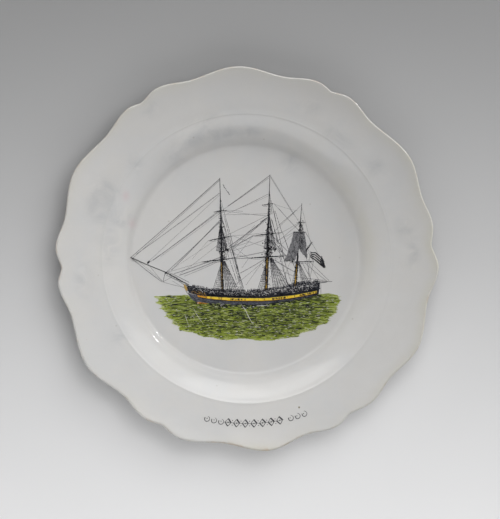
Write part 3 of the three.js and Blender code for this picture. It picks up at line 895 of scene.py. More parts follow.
band = Film()
band.patch(strip(band_top, band_low, 566, 1284), lift=0.046, thick=0.03, tone=0.66)
band.patch(strip(lambda u: float(band_top(u)) + 0.5 * (float(band_low(u)) - float(band_top(u))) * clamp((566 - u) / 60, 0, 1), band_low, 506, 567, 8), lift=0.046, thick=0.03, tone=0.2)
band.ribbon([g(u, float(band_low(u)) - 2) for u in np.linspace(560, 1282, 40)], 0.4, lift=0.077, thick=0.012, wob=0.4, tone=0.25)
for k in range(70):
    u = rng.uniform(570, 1270)
    vv = float(band_top(u)) + rng.uniform(4, 12)
    band.ribbon([g(u, vv), g(u + rng.uniform(8, 30), vv + 0.0)], rng.uniform(0.2, 0.5), lift=0.078, thick=0.012, wob=0.3, taper=0.3, tone=rng.choice([0.2, 0.85, 1.0, 1.0]))
band.make("hull_band_brushed", YELLOW, "yellow_enamel", replaces=("hull_band_enamel",))
ports = Film()
for f, w in ((lambda u: float(band_top(u)) - 1.0, 0.34), (lambda u: float(band_low(u)) + 1.0, 0.30)):
    ports.ribbon([g(u, f(u)) for u in np.linspace(500, 1290, 70)], w, lift=0.082, thick=0.015, wob=0.5)
# ports and their lids, in groups along the band
for u0, u1, count, strength in ((640, 668, 5, 0.7), (716, 796, 26, 1.1), (812, 830, 3, 0.6), (870, 900, 3, 0.6), (930, 948, 3, 0.7), (990, 1100, 34, 1.1), (1124, 1140, 3, 0.7), (1170, 1284, 34, 1.1), (575, 600, 4, 0.6)):
    for _ in range(count):
        u = rng.uniform(u0, u1)
        mid = 0.5 * (float(band_top(u)) + float(band_low(u)))
        ports.ribbon([g(u, mid - rng.uniform(2, 8)), g(u + rng.uniform(-3, 3), mid + rng.uniform(2, 8))], rng.uniform(0.18, 0.40) * strength, lift=0.09, thick=0.012)
ports.make("hull_port_print", INK, "ink")

bow = Film()
bow.patch([g(414, 778), g(424, 782), g(436, 798), g(440, 818), g(430, 822), g(420, 806)], lift=0.05, thick=0.03, tone=0.55)
for _ in range(22):
    u = rng.uniform(462, 556)
    bow.ribbon([g(u, float(rail(u)) + rng.uniform(16, 40)), g(u + rng.uniform(5, 14), float(rail(u)) + rng.uniform(20, 44))], rng.uniform(0.16, 0.32), lift=0.079, thick=0.01, tone=rng.uniform(0.0, 0.6))
bow.make("bow_brushed", TAN, "yellow_enamel", replaces=("bow_enamel",))
dash = Film()
dash.patch([g(500, 892), g(516, 890), g(540, 894), g(578, 900), g(566, 903), g(530, 904), g(506, 900)], lift=0.056, thick=0.03, tone=0.5)
dash.patch([g(502, 843), g(530, 848), g(552, 856), g(540, 861), g(516, 857), g(504, 850)], lift=0.078, thick=0.012, tone=0.5)
dash.make("waterline_brushed", ORANGE, "orange_enamel", replaces=("waterline_enamel",))


# ---- masts ------------------------------------------------------------------------------------------------------
def mast(name, head, foot, cap_v, core, edges, upper, yards, tops, body_nodes, enamel_node, clutter):
    """A mast from deck to truck: enamelled lower mast between dark edges, printed upper mast, yards and gear."""
    (hu, hv), (fu, fv) = head, foot

    def at(v):
        t = (v - fv) / (hv - fv)
        return fu + (hu - fu) * t

    low_ = Film()
    shift, width, tone = core
    low_.ribbon([g(at(v) + shift, v) for v in np.linspace(fv + 2, cap_v, 14)], width, lift=0.03, thick=0.03, wob=0.14, tone=tone)
    for _ in range(26):
        vv = rng.uniform(cap_v, fv - 12)
        low_.ribbon([g(at(vv) + shift + rng.uniform(-2, 2), vv), g(at(vv) + shift + rng.uniform(-2, 2), vv + rng.uniform(6, 16))], width * rng.uniform(0.25, 0.5), lift=0.061, thick=0.01, tone=rng.choice([0.0, 0.1, 0.8, 1.0]))
    low_.make(name + "_lower_brushed", GOLD, "orange_enamel", replaces=(enamel_node,))
    f = Film()
    for off, w in edges:
        f.ribbon([g(at(v) + off, v) for v in np.linspace(fv + 6, cap_v, 20)], w, lift=0.072, thick=0.015, wob=0.55, tone=0.95)
    for _ in range(64):
        vv = rng.uniform(cap_v + 4, fv - 6)
        off = rng.choice([e[0] for e in edges])
        f.ribbon([g(at(vv) + off - rng.uniform(2, 6), vv), g(at(vv) + off + rng.uniform(2, 6), jitter(vv, 2))], rng.uniform(0.16, 0.40), lift=0.088, thick=0.01, tone=0.9)
    # upper mast in three tapering lengths, doubled at each overlap
    n1, n2 = cap_v + (hv - cap_v) * 0.40, cap_v + (hv - cap_v) * 0.64
    f.ribbon([g(at(v) - 0.5, v) for v in np.linspace(cap_v + 16, n1, 18)], upper, upper * 0.85, lift=0.03, thick=0.03, wob=0.30, tone=1.0)
    f.ribbon([g(at(v) + 1.0, v) for v in np.linspace(n1 + 22, n2, 14)], upper * 0.85, upper * 0.62, lift=0.03, thick=0.03, wob=0.22, tone=1.0)
    f.ribbon([g(at(v), v) for v in np.linspace(n2 + 18, hv, 16)], upper * 0.50, 0.34, lift=0.03, thick=0.03, wob=0.18, tone=0.9)
    f.ribbon([g(at(v) + 3.4, v) for v in np.linspace(cap_v + 6, cap_v - 46, 6)], upper * 0.6, lift=0.03, thick=0.03, wob=0.3, tone=1.0)
    for a, b, w in yards:
        m = ((a[0] + b[0]) / 2, (a[1] + b[1]) / 2 + rng.uniform(-1, 1))
        pts = [a, (a[0] * 0.75 + m[0] * 0.25, a[1] * 0.75 + m[1] * 0.25), (a[0] * 0.4 + m[0] * 0.6, a[1] * 0.4 + m[1] * 0.6), m,
               (b[0] * 0.4 + m[0] * 0.6, b[1] * 0.4 + m[1] * 0.6), (b[0] * 0.75 + m[0] * 0.25, b[1] * 0.75 + m[1] * 0.25), b]  # fmt: skip
        f.ribbon([g(*p) for p in pts], w, lift=0.06, thick=0.02, wob=0.2, taper=0.4, tone=0.95)
        # furled sail lumps along the yard and the foot rope under it
        for k in range(int(abs(b[0] - a[0]) / 6)):
            t = rng.uniform(0.08, 0.92)
            f.blob(*g(a[0] + (b[0] - a[0]) * t, a[1] + (b[1] - a[1]) * t + rng.uniform(-3, 2)), rng.uniform(0.16, 0.34), lift=0.06, thick=0.02, tone=0.9)
        mid_v = 0.5 * (a[1] + b[1])
        f.line(g(a[0] + 4, a[1] + 2), g(at(mid_v), mid_v + 5), 0.13, sag=0.7, lift=0.055, thick=0.015, tone=0.4)
        f.line(g(at(mid_v), mid_v + 5), g(b[0] - 4, b[1] + 2), 0.13, sag=0.7, lift=0.055, thick=0.015, tone=0.4)
    for v, w, h in tops:
        x = at(v)
        f.patch([g(x - w / 2, v + h / 2), g(x + w / 2, v + h / 2), g(x + 0.62 * w, v - h / 2), g(x - 0.62 * w, v - h / 2)], lift=0.06, thick=0.02, tone=0.9)
    # blocks, coils and loose gear about the mast
    for u0, v0, su, sv, count, size in clutter:
        for _ in range(count):
            u, v = rng.gauss(u0, su), clamp(rng.gauss(v0, sv), v0 - 2.2 * sv, v0 + 2.2 * sv)
            t = rng.uniform(0.2, 1.0)
            if rng.random() < 0.72:
                a = rng.choice([0.3, 1.2, 1.5, 1.6, 1.9, 2.6]) + rng.uniform(-0.3, 0.3)
                ln = rng.uniform(4, 13)
                f.ribbon([g(u, v), g(u + ln * math.cos(a), v + ln * math.sin(a))], rng.uniform(0.12, 0.30) * size, lift=0.07, thick=0.02, tone=t)
            else:
                f.blob(*g(u, v), rng.uniform(0.14, 0.36) * size, lift=0.07, thick=0.02, tone=t)
    f.make(name + "_engraving", INK, "ink", replaces=body_nodes)
    return at


fore_at = mast(
    "fore_mast", (649, 88), (668, 822), 622, (-2.6, 0.56, 0.20), [(-8.0, 0.36), (3.8, 0.92)], 1.28,
    [((530, 634), (712, 614), 0.74), ((575, 496), (735, 464), 0.58), ((606, 309), (700, 298), 0.42)],
    [(566, 34, 9), (352, 15, 6)], ("fore_mast_print",), "fore_lower_mast_enamel",
    [(666, 560, 13, 26, 100, 1.2), (661, 474, 9, 46, 110, 1.05), (668, 604, 11, 12, 44, 1.1), (654, 300, 3.5, 50, 20, 0.8), (700, 556, 10, 6, 26, 1.2), (690, 500, 9, 26, 30, 1.0), (668, 720, 11, 52, 40, 0.9)],
)
main_at = mast(
    "main_mast", (977, 64), (952, 812), 602, (0, 1.10, 0.22), [(-7.6, 0.66), (7.0, 0.70)], 1.34,
    [((838, 608), (1076, 592), 0.76), ((868, 463), (1056, 440), 0.58), ((922, 264), (1002, 252), 0.44)],
    [(546, 36, 9), (328, 16, 6)], ("main_mast_print",), "main_lower_mast_enamel",
    [(966, 550, 14, 26, 120, 1.25), (971, 462, 9, 50, 130, 1.05), (964, 590, 11, 14, 44, 1.1), (974, 300, 4, 30, 24, 0.9), (1000, 548, 10, 6, 26, 1.2), (955, 700, 13, 56, 90, 1.05), (985, 620, 18, 12, 36, 1.1)],
)
mizzen_at = mast(
    "mizzen_mast", (1186, 250), (1142, 788), 632, (0, 1.0, 0.58), [(-6.4, 0.36), (5.8, 0.48)], 0.92,
    [((1106, 632), (1266, 628), 0.50), ((1128, 440), (1212, 436), 0.44), ((1150, 376), (1209, 372), 0.36)],
    [(424, 20, 7)], ("mizzen_mast_print",), "mizzen_lower_mast_enamel",
    [(1162, 636, 10, 10, 26, 0.9), (1180, 404, 8, 24, 56, 1.0), (1176, 470, 12, 40, 50, 1.0)],
)

# ---- bowsprit ---------------------------------------------------------------------------------------------------
b = Film()
b.ribbon([g(440, 782), g(370, 740), g(300, 704), g(180, 656), g(68, 608)], 0.34, 0.46, lift=0.05, thick=0.03, wob=0.4, tone=0.75)
b.ribbon([g(432, 794), g(380, 758), g(300, 722)], 0.26, 0.20, lift=0.04, thick=0.03, wob=0.3, tone=0.8)
b.ribbon([g(450, 768), g(360, 722), g(302, 698)], 0.24, 0.18, lift=0.04, thick=0.03, wob=0.3, tone=0.7)
b.ribbon([g(300, 700), g(290, 720), g(280, 766)], 0.36, 0.24, lift=0.05, thick=0.03)
b.patch([g(176, 640), g(184, 630), g(194, 628), g(194, 638), g(184, 648), g(176, 648)], lift=0.05, thick=0.03, tone=0.5)
b.patch([g(288, 712), g(294, 704), g(306, 706), g(302, 713)], lift=0.05, thick=0.03, tone=0.5)
for _ in range(46):
    u = rng.uniform(300, 440)
    v = 704 + (u - 300) * 0.54
    b.ribbon([g(u, v + rng.uniform(-6, 6)), g(u + rng.uniform(6, 14), v + rng.uniform(2, 14))], rng.uniform(0.12, 0.26), lift=0.06, thick=0.02, tone=rng.uniform(0.3, 1))
b.make("bowsprit_engraving", INK, "ink", replaces=("bowsprit_print",))

# ---- rigging ----------------------------------------------------------------------------------------------------
r_ = Film()
LINES = [
    # stays from the fore mast to the bowsprit
    ((650, 92), (72, 606), 0.20), ((648, 104), (84, 612), 0.15), ((648, 186), (104, 588), 0.18), ((648, 198), (182, 636), 0.13),
    ((650, 296), (214, 626), 0.19), ((650, 306), (190, 640), 0.14), ((652, 316), (262, 602), 0.12), ((650, 362), (334, 690), 0.19),
    ((650, 372), (300, 704), 0.19), ((655, 508), (388, 716), 0.15), ((652, 470), (310, 700), 0.12), ((660, 600), (350, 712), 0.21),
    ((660, 612), (386, 722), 0.22), ((660, 622), (418, 728), 0.16), ((530, 634), (300, 704), 0.13), ((575, 494), (470, 616), 0.10),
    # under the bowsprit
    ((74, 611), (272, 764), 0.19), ((182, 650), (278, 766), 0.14), ((280, 766), (424, 800), 0.15), ((280, 764), (352, 726), 0.18),
    ((340, 758), (430, 812), 0.13), ((110, 622), (276, 758), 0.10),
    # between fore and main
    ((976, 68), (700, 272), 0.21), ((972, 84), (662, 300), 0.13), ((970, 188), (700, 320), 0.15), ((972, 200), (760, 292), 0.10),
    ((662, 300), (968, 334), 0.14), ((672, 326), (962, 318), 0.12), ((700, 297), (800, 304), 0.12), ((968, 326), (672, 470), 0.16),
    ((966, 340), (706, 536), 0.22), ((962, 352), (690, 560), 0.15), ((944, 352), (742, 548), 0.15), ((880, 392), (720, 548), 0.12),
    ((958, 344), (914, 374), 0.24), ((735, 463), (960, 440), 0.12), ((735, 464), (962, 540), 0.13), ((868, 461), (680, 560), 0.22),
    ((868, 461), (760, 598), 0.12), ((968, 560), (690, 614), 0.18), ((700, 612), (850, 606), 0.22), ((838, 607), (690, 560), 0.12),
    ((962, 600), (782, 706), 0.18), ((958, 610), (700, 820), 0.14), ((922, 640), (820, 784), 0.15), ((838, 608), (700, 500), 0.12),
    ((838, 608), (794, 672), 0.12), ((850, 500), (720, 540), 0.12), ((962, 480), (740, 560), 0.14),
    # between main and mizzen
    ((980, 70), (1180, 392), 0.16), ((982, 82), (1134, 326), 0.11), ((1182, 262), (992, 446), 0.16), ((1152, 292), (1034, 394), 0.20),
    ((1034, 284), (1160, 420), 0.18), ((1178, 372), (986, 530), 0.15), ((1130, 440), (992, 506), 0.12), ((1132, 444), (1002, 560), 0.13),
    ((1056, 440), (1176, 372), 0.12), ((1076, 592), (1150, 560), 0.12), ((1000, 500), (1100, 612), 0.30), ((1004, 520), (1130, 640), 0.18),
    ((1152, 604), (990, 640), 0.12), ((984, 652), (1140, 728), 0.16), ((1110, 630), (1064, 742), 0.12), ((990, 608), (1146, 700), 0.20),
    ((1002, 252), (1120, 380), 0.13), ((1002, 256), (1160, 300), 0.09), ((1000, 470), (1090, 560), 0.24), ((994, 510), (1060, 600), 0.20),
    # aft
    ((1208, 436), (1258, 520), 0.16), ((1212, 440), (1300, 590), 0.12), ((1226, 616), (1364, 752), 0.18), ((1208, 640), (1352, 756), 0.17),
    ((1240, 560), (1226, 744), 0.13), ((1262, 628), (1236, 750), 0.13), ((1262, 628), (1240, 560), 0.12), ((1140, 726), (1346, 750), 0.16),
    ((1170, 778), (1352, 760), 0.34), ((1310, 776), (1310, 836), 0.18), ((1192, 440), (1230, 560), 0.15), ((1230, 640), (1300, 752), 0.13),
    ((1183, 262), (1246, 520), 0.12), ((1320, 758), (1384, 758), 0.22), ((1228, 570), (1262, 628), 0.14),
]  # fmt: skip
for a, c, w in LINES:
    sag = 0.25 if abs(a[0] - c[0]) > 120 else 0.0
    r_.line(g(*a), g(*c), w * 1.16, sag=sag, lift=0.02 + rng.uniform(0, 0.012), thick=0.015, wob=0.2, tone=clamp(0.35 + 1.6 * (w - 0.12) + rng.uniform(-0.15, 0.15), 0, 1))
    # a fainter companion to the longer stays, as the engraver doubled them
    if w > 0.17 and abs(a[0] - c[0]) > 150:
        o = rng.uniform(3.0, 4.5)
        r_.line(g(a[0], a[1] + o), g(c[0], c[1] + o * 0.4), w * 0.6, sag=sag * 1.2, lift=0.02, thick=0.015, wob=0.3, tone=0.15)


def shrouds(film, top, foot_us, foot_v, w, ratlines, fan=0.0, tone=0.6, broken=0.0, from_=0.08):
    """A fan of shrouds from a point on the mast to the rail, crossed by ratlines."""
    (tu, tv) = top
    feet = [(u, float(foot_v(u)) + 2) for u in foot_us]
    for k, p in enumerate(feet):
        a = (tu + fan * k, tv)
        if not broken:
            film.line(g(*a), g(*p), w, lift=0.022 + 0.001 * k, thick=0.015, wob=0.25, tone=tone)
            continue
        t = 0.0
        while t < 1:  # a line in dashes, as it prints from a worn plate
            t2 = min(1.0, t + rng.uniform(0.05, 0.14))
            q = [(a[0] + (p[0] - a[0]) * s, a[1] + (p[1] - a[1]) * s) for s in (t, t2)]
            film.line(g(*q[0]), g(*q[1]), w * rng.uniform(0.6, 1.3), lift=0.022 + 0.001 * k, thick=0.015, tone=rng.uniform(0.1, 1.0))
            t = t2 + (rng.uniform(0.01, 0.03) if rng.random() < broken else 0)
    first, last = feet[0], feet[-1]
    for i in range(ratlines):
        t = from_ + (1 - from_) * (i + 0.5) / ratlines
        a = (tu + (first[0] - tu) * t, tv + (first[1] - tv) * t)
        c = (tu + fan * (len(feet) - 1) + (last[0] - tu) * t, tv + (last[1] - tv) * t)
        film.line(g(*a), g(*c), w * rng.uniform(0.5, 0.9), sag=0.12, lift=0.026, thick=0.015, wob=0.35, tone=rng.uniform(0.1, 0.7))


flat = lambda v: (lambda u: v)  # noqa: E731
s_ = Film()
# lower shrouds, aft of each mast and before it
shrouds(s_, (672, 628), [690, 704, 718, 732, 746, 760, 774], rail, 0.33, 19, fan=1.6, broken=0.35)
shrouds(s_, (662, 628), [648, 638, 628, 616, 604], rail, 0.21, 15, broken=0.3)
shrouds(s_, (976, 608), [1000, 1018, 1036, 1054, 1072, 1090, 1106], rail, 0.31, 20, fan=2.2, broken=0.35)
shrouds(s_, (962, 606), [938, 928, 918, 906, 892], rail, 0.26, 17, broken=0.25)
shrouds(s_, (1164, 636), [1184, 1196, 1208, 1222, 1236], rail, 0.25, 15, fan=1.2, broken=0.3)
shrouds(s_, (1150, 640), [1134, 1124, 1116], rail, 0.18, 9, broken=0.3)
# topmast shrouds: narrow dark nets on both sides of the mast
shrouds(s_, (655, 372), [626, 634, 642, 676, 686, 694, 702], flat(562), 0.27, 24, broken=0.2)
shrouds(s_, (973, 330), [936, 944, 952, 992, 1000, 1010, 1018], flat(545), 0.28, 26, broken=0.2)
shrouds(s_, (1182, 380), [1160, 1168, 1190, 1198], flat(440), 0.15, 7, broken=0.3)
shrouds(s_, (652, 230), [642, 662, 668], flat(352), 0.13, 9, broken=0.4)
shrouds(s_, (976, 190), [962, 988, 994], flat(322), 0.13, 10, broken=0.4)
# long backstays with doubled lines
for a, c in [
    ((656, 232), (722, 470)), ((722, 470), (800, 822)), ((660, 340), (812, 824)), ((664, 360), (790, 822)), ((668, 480), (780, 820)),
    ((676, 330), (744, 600)), ((744, 600), (808, 822)), ((728, 540), (778, 760)), ((736, 560), (796, 818)), ((984, 230), (1060, 560)),
    ((1000, 290), (1076, 640)), ((984, 350), (1124, 790)), ((990, 360), (1096, 792)), ((1010, 300), (1056, 440)), ((1186, 440), (1242, 752)),
    ((1190, 640), (1250, 752)), ((1060, 440), (1130, 640)), ((1070, 470), (1150, 700)), ((1040, 600), (1092, 780)),
]:  # fmt: skip
    shrouds(s_, a, [c[0]], flat(c[1] - 2), 0.25, 0, broken=0.6)
s_.make("shroud_print", INK, "ink")
r_.make("rigging_print", INK_SOFT, "ink")

# ---- sails, flag, pennant ---------------------------------------------------------------------------------------
FORE_HALF = [(1132, 434), (1180, 436), (1178, 500), (1168, 548), (1152, 590), (1139, 624), (1067, 627), (1086, 590), (1101, 548), (1114, 508), (1125, 468)]
AFT_HALF = [(1180, 436), (1202, 434), (1208, 470), (1213, 510), (1220, 560), (1221, 602), (1208, 600), (1192, 580), (1177, 556), (1168, 546), (1177, 500)]


def hatched_sail(outline, lean, count, name, old):
    """A brailed-up sail: a thin wash broken by dense strokes that run down its folds."""
    f = Film()
    f.patch([g(*p) for p in ragged(outline + outline[:1], 4, 9)[:-1]], lift=0.04, thick=0.025, tone=0.22)
    us, vs = [p[0] for p in outline], [p[1] for p in outline]
    done = 0
    while done < count:
        u, v = rng.uniform(min(us), max(us)), rng.uniform(min(vs), max(vs))
        if not inside(u, v, outline):
            continue
        done += 1
        a = lean + rng.uniform(-0.28, 0.28)
        ln = rng.uniform(6, 22)
        fold = 0.5 + 0.5 * math.sin(0.33 * u + 0.05 * v)
        core = math.exp(-(((u - 1176) / 16) ** 2))
        f.ribbon(
            [g(u - 0.5 * ln * math.cos(a), v - 0.5 * ln * math.sin(a)), g(u + 0.5 * ln * math.cos(a), v + 0.5 * ln * math.sin(a))],
            rng.uniform(0.16, 0.46) * (0.7 + 0.5 * fold + 0.3 * core), lift=0.066 + rng.uniform(0, 0.008), thick=0.015, taper=0.3,
            tone=clamp(0.42 + 0.6 * fold + 0.5 * core + rng.uniform(-0.25, 0.25), 0, 1.1),
        )
    for _ in range(14 if count > 300 else 0):  # loose foot of the sail
        u = rng.uniform(min(us) + 4, min(us) + 0.55 * (max(us) - min(us)))
        f.ribbon([g(u, max(vs) - 8), g(u + rng.uniform(-3, 3), max(vs) + rng.uniform(-2, 10))], rng.uniform(0.14, 0.3), lift=0.066, thick=0.015, tone=0.8)
    f.make(name, INK_SAIL, "ink", replaces=(old,))


hatched_sail(FORE_HALF, 1.80, 380, "mizzen_sail_fore_engraving", "mizzen_sail_fore_print")
hatched_sail(AFT_HALF, 1.44, 210, "mizzen_sail_aft_engraving", "mizzen_sail_aft_print")
bare = Film()
for outline, lean, count in ((FORE_HALF, 1.80, 46), (AFT_HALF, 1.44, 22)):
    done = 0
    while done < count:
        u, v = rng.uniform(1060, 1224), rng.uniform(436, 626)
        if inside(u, v, outline) and abs(u - 1177) > 6:
            ln = rng.uniform(3, 9)
            a = lean + rng.uniform(-0.4, 0.4)
            bare.ribbon([g(u, v), g(u + ln * math.cos(a), v + ln * math.sin(a))], rng.uniform(0.12, 0.30), lift=0.092, thick=0.01, wob=0.5, taper=0.4)
            done += 1
bare.make("sail_unprinted_flecks", GLAZE, "glaze")
s = Film()
s.ribbon([g(1212, 560), g(1232, 534), g(1254, 500)], 0.86, 0.5, lift=0.06, thick=0.03, wob=0.4, tone=0.8)
s.ribbon([g(1216, 548), g(1234, 520), g(1244, 506)], 0.3, 0.2, lift=0.06, thick=0.03, wob=0.4, tone=0.6)
s.make("gaff_engraving", INK, "ink", replaces=("gaff_print",))

# a plain striped flag, blown out and hanging
flag = Film()


def flag_at(a, c):
    """a along the flag from hoist to fly, c across it."""
    low_u, low_v = np.interp(a, [0, 0.35, 0.7, 1], [1240, 1274, 1306, 1330]), np.interp(a, [0, 0.35, 0.7, 1], [598, 618, 652, 670])
    top_u, top_v = np.interp(a, [0, 0.3, 0.72, 1], [1246, 1276, 1322, 1338]), np.interp(a, [0, 0.3, 0.72, 1], [562, 556, 604, 662])
    return (float(low_u + (top_u - low_u) * c), float(low_v + (top_v - low_v) * c + 3 * math.sin(6 * a)))


for k in range(4):
    c0 = (k + 0.2) / 4
    pts = [flag_at(a, c0 + 0.04 * a) for a in np.linspace(0.0, 0.98, 14)]
    flag.ribbon([g(*p) for p in pts], 0.70, 0.62, lift=0.05, thick=0.03, wob=0.25, tone=1.1)
for k in range(120):
    a, c = rng.uniform(0.62, 1.0), rng.uniform(0.0, 1.0)
    q = flag_at(a, c)
    flag.ribbon([g(*q), g(q[0] + rng.uniform(3, 8), q[1] + rng.uniform(1, 6))], rng.uniform(0.16, 0.36), lift=0.085, thick=0.02, tone=rng.uniform(0, 0.8))
flag.ribbon([g(*flag_at(1.0, c)) for c in np.linspace(0, 1, 5)], 0.34, lift=0.085, thick=0.02, wob=0.3, tone=0.6)
flag.ribbon([g(*flag_at(a, 0.0)) for a in np.linspace(0.3, 1, 8)], 0.34, lift=0.085, thick=0.02, wob=0.3, tone=0.8)
flag.make("ensign_engraving", INK, "ink", replaces=("ensign_print",))

pen = Film()
for u0, v0, ln in ((669, 128, 14), (674, 142, 13), (682, 150, 14), (690, 164, 14), (699, 174, 13), (706, 186, 13)):
    pen.ribbon([g(u0, v0), g(u0 + 0.35 * ln, v0 + 0.6 * ln), g(u0 + 0.75 * ln, v0 + 0.9 * ln)], rng.uniform(0.7, 1.0), 0.5, lift=0.03, thick=0.02, wob=0.5, taper=0.4, tone=rng.uniform(-0.1, 0.4))
pen.make("pennant_engraving", INK_SOFT, "ink", replaces=("pennant_print",))

# ---- scratches through the sea ----------------------------------------------------------------------------------
sc = Film()
for pts, w in [
    ([(788, 902), (816, 938), (840, 990), (868, 1034)], 0.42),
    ([(474, 924), (500, 972), (530, 1016), (544, 1036)], 0.36),
    ([(420, 966), (432, 1000), (448, 1046)], 0.38),
    ([(884, 915), (920, 911), (976, 912)], 0.36),
    ([(1098, 910), (1106, 940), (1110, 960)], 0.16),
]:
    sc.ribbon([g(*p) for p in pts], w, lift=0.088, thick=0.012, wob=0.5, taper=0.3)
for _ in range(210):
    u, v = sea_place()
    sc.ribbon([g(u, v), g(u + rng.uniform(3, 13), jitter(v, 2.5))], rng.uniform(0.09, 0.23), lift=0.088, thick=0.012)
for _ in range(90):
    u, v = sea_place(grow=6)
    sc.ribbon([g(u, v), g(u + rng.uniform(5, 11), jitter(v, 1.5)), g(u + rng.uniform(12, 22), jitter(v, 3))], rng.uniform(0.20, 0.36), lift=0.103, thick=0.010, wob=0.4, taper=0.4)
# a rubbed patch low in the middle
for _ in range(9):
    u, v = rng.gauss(848, 22), rng.gauss(1052, 3)
    sc.ribbon([g(u, v), g(u + rng.uniform(6, 16), jitter(v, 2.5))], rng.uniform(0.1, 0.26), lift=0.088, thick=0.012)
sc.make("sea_scratches", GLAZE, "glaze")

# =================================================================================================================
# the ornament on the rim: lozenges and dots on a running line, no lettering
# =================================================================================================================
orn = Film()
ORN_R = 107.0


def bent(s_, t_):
    """s_ mm along the arc from the bottom of the rim towards +X, t_ mm towards the centre."""
    a = -math.pi / 2 + s_ / ORN_R
    return ((ORN_R - t_) * math.cos(a), (ORN_R - t_) * math.sin(a))


def lozenge(s_, w, h, t_=0.0, hollow=0.0):
    k = dict(lift=0.02, thick=0.03)
    if not hollow:
        orn.patch([bent(s_ - w / 2, t_), bent(s_, t_ - h / 2), bent(s_ + w / 2, t_), bent(s_, t_ + h / 2)], **k)
        return
    # thin on the left strokes, bold on the right ones, as an engraver shades it
    orn.ribbon([bent(s_ - w / 2, t_), bent(s_, t_ + h / 2)], 0.30, **k)
    orn.ribbon([bent(s_ - w / 2, t_), bent(s_, t_ - h / 2)], 0.68, **k)
    orn.ribbon([bent(s_ + w / 2, t_), bent(s_, t_ + h / 2)], 0.90, **k)
    orn.ribbon([bent(s_ + w / 2, t_), bent(s_, t_ - h / 2)], 0.36, **k)


s0, s1 = -15.6 * math.pi / 180 * ORN_R, 21.4 * math.pi / 180 * ORN_R
centre = (s0 + s1) / 2 - 1.2
orn.ribbon([bent(q, 0) for q in np.linspace(centre - 19.4, centre + 19.4, 40)], 0.2, lift=0.02, thick=0.03, wob=0.3)
for k in range(-3, 4):
    lozenge(centre + 5.6 * k, 3.9, 5.0, hollow=1)
    orn.blob(*bent(centre + 5.6 * k, 0), 0.42, n=8, lift=0.03, thick=0.03)
for k in range(-3, 3):
    orn.blob(*bent(centre + 5.6 * (k + 0.5), 1.5), 0.30, n=8, lift=0.02, thick=0.03)
    orn.blob(*bent(centre + 5.6 * (k + 0.5), -1.5), 0.30, n=8, lift=0.02, thick=0.03)
for start, step, way in ((s0 + 1.4, 4.6, 1), (s1 - 1.4, 4.6, -1)):
    for k in range(3):
        c = start + way * (k * step + 1.2)
        pts = [
            bent(c + 1.9 * math.sin(q) * (1 if q < math.pi else 0.7), 1.7 * math.cos(q) - 0.2 * q / 3)
            for q in np.linspace(0.3, 5.2, 14)
        ]
        orn.ribbon(pts, 0.26, 0.56, lift=0.02, thick=0.03, wob=0.15)
        orn.blob(*bent(c + way * 0.2, 0.1), 0.34, n=8, lift=0.02, thick=0.03)
orn.make("rim_ornament_engraving", INK, "ink", replaces=("rim_ornament_print",))

# a kiln pit on the lower rim
pit = Film()
pit.blob(33.6, -96.5, 0.62, n=9, lift=0.01, thick=0.05)
pit.make("kiln_pit", ink_material("kiln_pit_brown", (0.10, 0.085, 0.04), (0.24, 0.21, 0.13), wear=(0.35, 0.6)), "ink")

# =================================================================================================================
# floor, lights, camera
# =================================================================================================================
scene = bpy.context.scene
scene.view_settings.view_transform = "Standard"
scene.view_settings.look = "None"


def floor_material_painted_falloff():
    m, nt, b = material("studio_floor")
    n = N(nt)
    p = n.obj()
    sep = n.new("ShaderNodeSeparateXYZ")
    n.put(sep.inputs[0], p)
    # painted shade: the floor's colour goes from pale at the front (-Y) to dark grey toward the back (+Y), standing in
    # for light falling off across the floor
    t = n.math("MULTIPLY_ADD", sep.outputs[1], 1.6, 0.5, clamp=True)
    t = n.math("MULTIPLY", n.math("MULTIPLY", t, t), n.math("MULTIPLY_ADD", t, -2.0, 3.0), clamp=True)
    t = n.math("ADD", t, n.math("MULTIPLY", n.math("SUBTRACT", n.noise(p, 3, 3), 0.5), 0.06), clamp=True)
    n.put(b.inputs["Base Color"], n.ramp(t, [(0.0, (0.84, 0.84, 0.845)), (0.50, (0.49, 0.49, 0.493)), (1.0, (0.22, 0.22, 0.221))]))
    b.inputs["Roughness"].default_value = 0.75
    return m


me = bpy.data.meshes.new("studio_floor")
S = 6.0
me.from_pydata([(-S, -S, -0.0002), (S, -S, -0.0002), (S, S, -0.0002), (-S, S, -0.0002)], [], [(0, 1, 2, 3)])
me.materials.append(floor_material_painted_falloff())
floor = bpy.data.objects.new("studio_floor", me)
scene.collection.objects.link(floor)

world = bpy.data.worlds.new("studio")
scene.world = world
world.use_nodes = True
bg = world.node_tree.nodes["Background"]
bg.inputs[0].default_value = (1.0, 1.0, 1.0, 1)
bg.inputs[1].default_value = 0.03

floor_only = bpy.data.collections.new("lit_floor")
floor_only.objects.link(floor)
plate_only = bpy.data.collections.new("lit_plate")
for o in list(scene.collection.all_objects):
    if o.type == "MESH" and o is not floor:
        plate_only.objects.link(o)


def area(name, at, aim, size, power, colour=(1, 1, 1), only=None, spread=180):
    d = bpy.data.lights.new(name, "AREA")
    d.shape = "RECTANGLE"
    d.size, d.size_y = size
    d.energy = power
    d.color = colour
    d.spread = math.radians(spread)
    o = bpy.data.objects.new(name, d)
    o.location = at
    o.visible_camera = False
    o.rotation_euler = (Vector(aim) - Vector(at)).to_track_quat("-Z", "Y").to_euler()
    scene.collection.objects.link(o)
    if only is not None:
        o.light_linking.receiver_collection = only
    return o


def around(name, azimuth, elevation, size, distance, power, only, glossy=True, colour=(1, 1, 1)):
    """An area light aimed at the plate: azimuth anticlockwise from +X, both angles in degrees."""
    a_, e_ = math.radians(azimuth), math.radians(elevation)
    at = Vector((math.cos(a_) * math.cos(e_), math.sin(a_) * math.cos(e_), math.sin(e_))) * distance
    o = area(name, at, (0, 0, 0), size, power, colour, only)
    o.visible_glossy = glossy
    return o


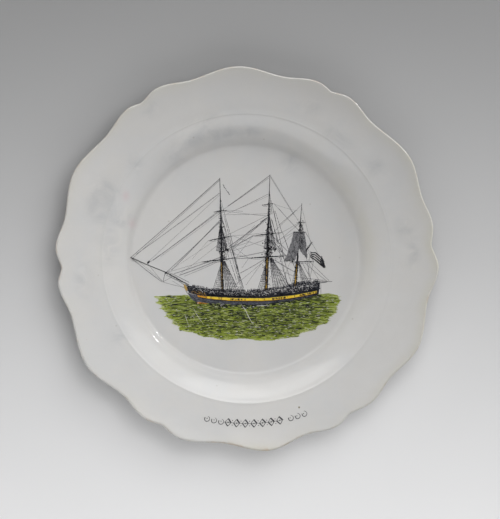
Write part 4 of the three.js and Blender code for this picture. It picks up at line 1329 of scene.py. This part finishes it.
# low, wide light that only shapes the relief
for az, el, power in ((0, 12, 9.2), (90, 12, 7.4), (45, 12, 4.9), (135, 12, 1.1)):
    around("shape_%d" % az, az, el, (0.7, 0.7), 1.6, power, plate_only, glossy=False)
around("fill_near", 225, 45, (0.5, 0.5), 0.6, 1.46, plate_only, glossy=False)
# soft boxes that the glaze also mirrors
for az, el, size, power in (
    (90, 40, (1.1, 0.7), 3.0), (60, 40, (1.1, 0.7), 2.9), (90, 58, (1.1, 0.7), 2.3), (120, 40, (1.1, 0.7), 0.7),
    (270, 62, (1.2, 0.5), 2.1), (180, 45, (0.8, 0.8), 0.55),
):  # fmt: skip
    around("soft_%d_%d" % (az, el), az, el, size, 1.4, power, plate_only)
# a small lamp for the one sharp glint on the wall
around("glint", 41, 5, (0.09, 0.09), 1.5, 1.7, plate_only)
around("floor_key", 60, 54, (1.5, 1.5), 1.6, 14, floor_only, glossy=False)
around("floor_front", 268, 50, (1.8, 0.6), 0.9, 4.8, floor_only, glossy=False)
# an even overhead fill, so that the floor stays light into the distance
fill_d = bpy.data.lights.new("floor_fill", "SUN")
fill_d.energy = 1.14
fill_d.angle = math.radians(50)
fill = bpy.data.objects.new("floor_fill", fill_d)
fill.rotation_euler = (0, math.radians(6), math.radians(60))
fill.visible_glossy = False
scene.collection.objects.link(fill)
fill.light_linking.receiver_collection = floor_only

# camera: nearly square on to the face, from a little below and to the left, through a long lens
cam_d = bpy.data.cameras.new("camera")
cam = bpy.data.objects.new("camera", cam_d)
scene.collection.objects.link(cam)
DIST = 2.2
left, down = math.radians(4.7), math.radians(3.7)
back = Vector((-math.sin(left), -math.sin(down), math.sqrt(1 - math.sin(left) ** 2 - math.sin(down) ** 2)))
up = (Vector((0, 1, 0)) - back * back.y).normalized()
right = up.cross(back).normalized()
rim_centre = Vector((0, 0, 0.0242))
target = rim_centre + right * 0.00141 - up * 0.00126
cam.matrix_world = Matrix.Translation(target + back * DIST) @ Matrix((right, up, back)).transposed().to_4x4()
cam_d.sensor_fit = "HORIZONTAL"
cam_d.sensor_width = 36
cam_d.lens = 36 * DIST / 0.3228
cam_d.clip_start, cam_d.clip_end = 0.05, 50
scene.camera = cam

bpy.context.view_layer.update()
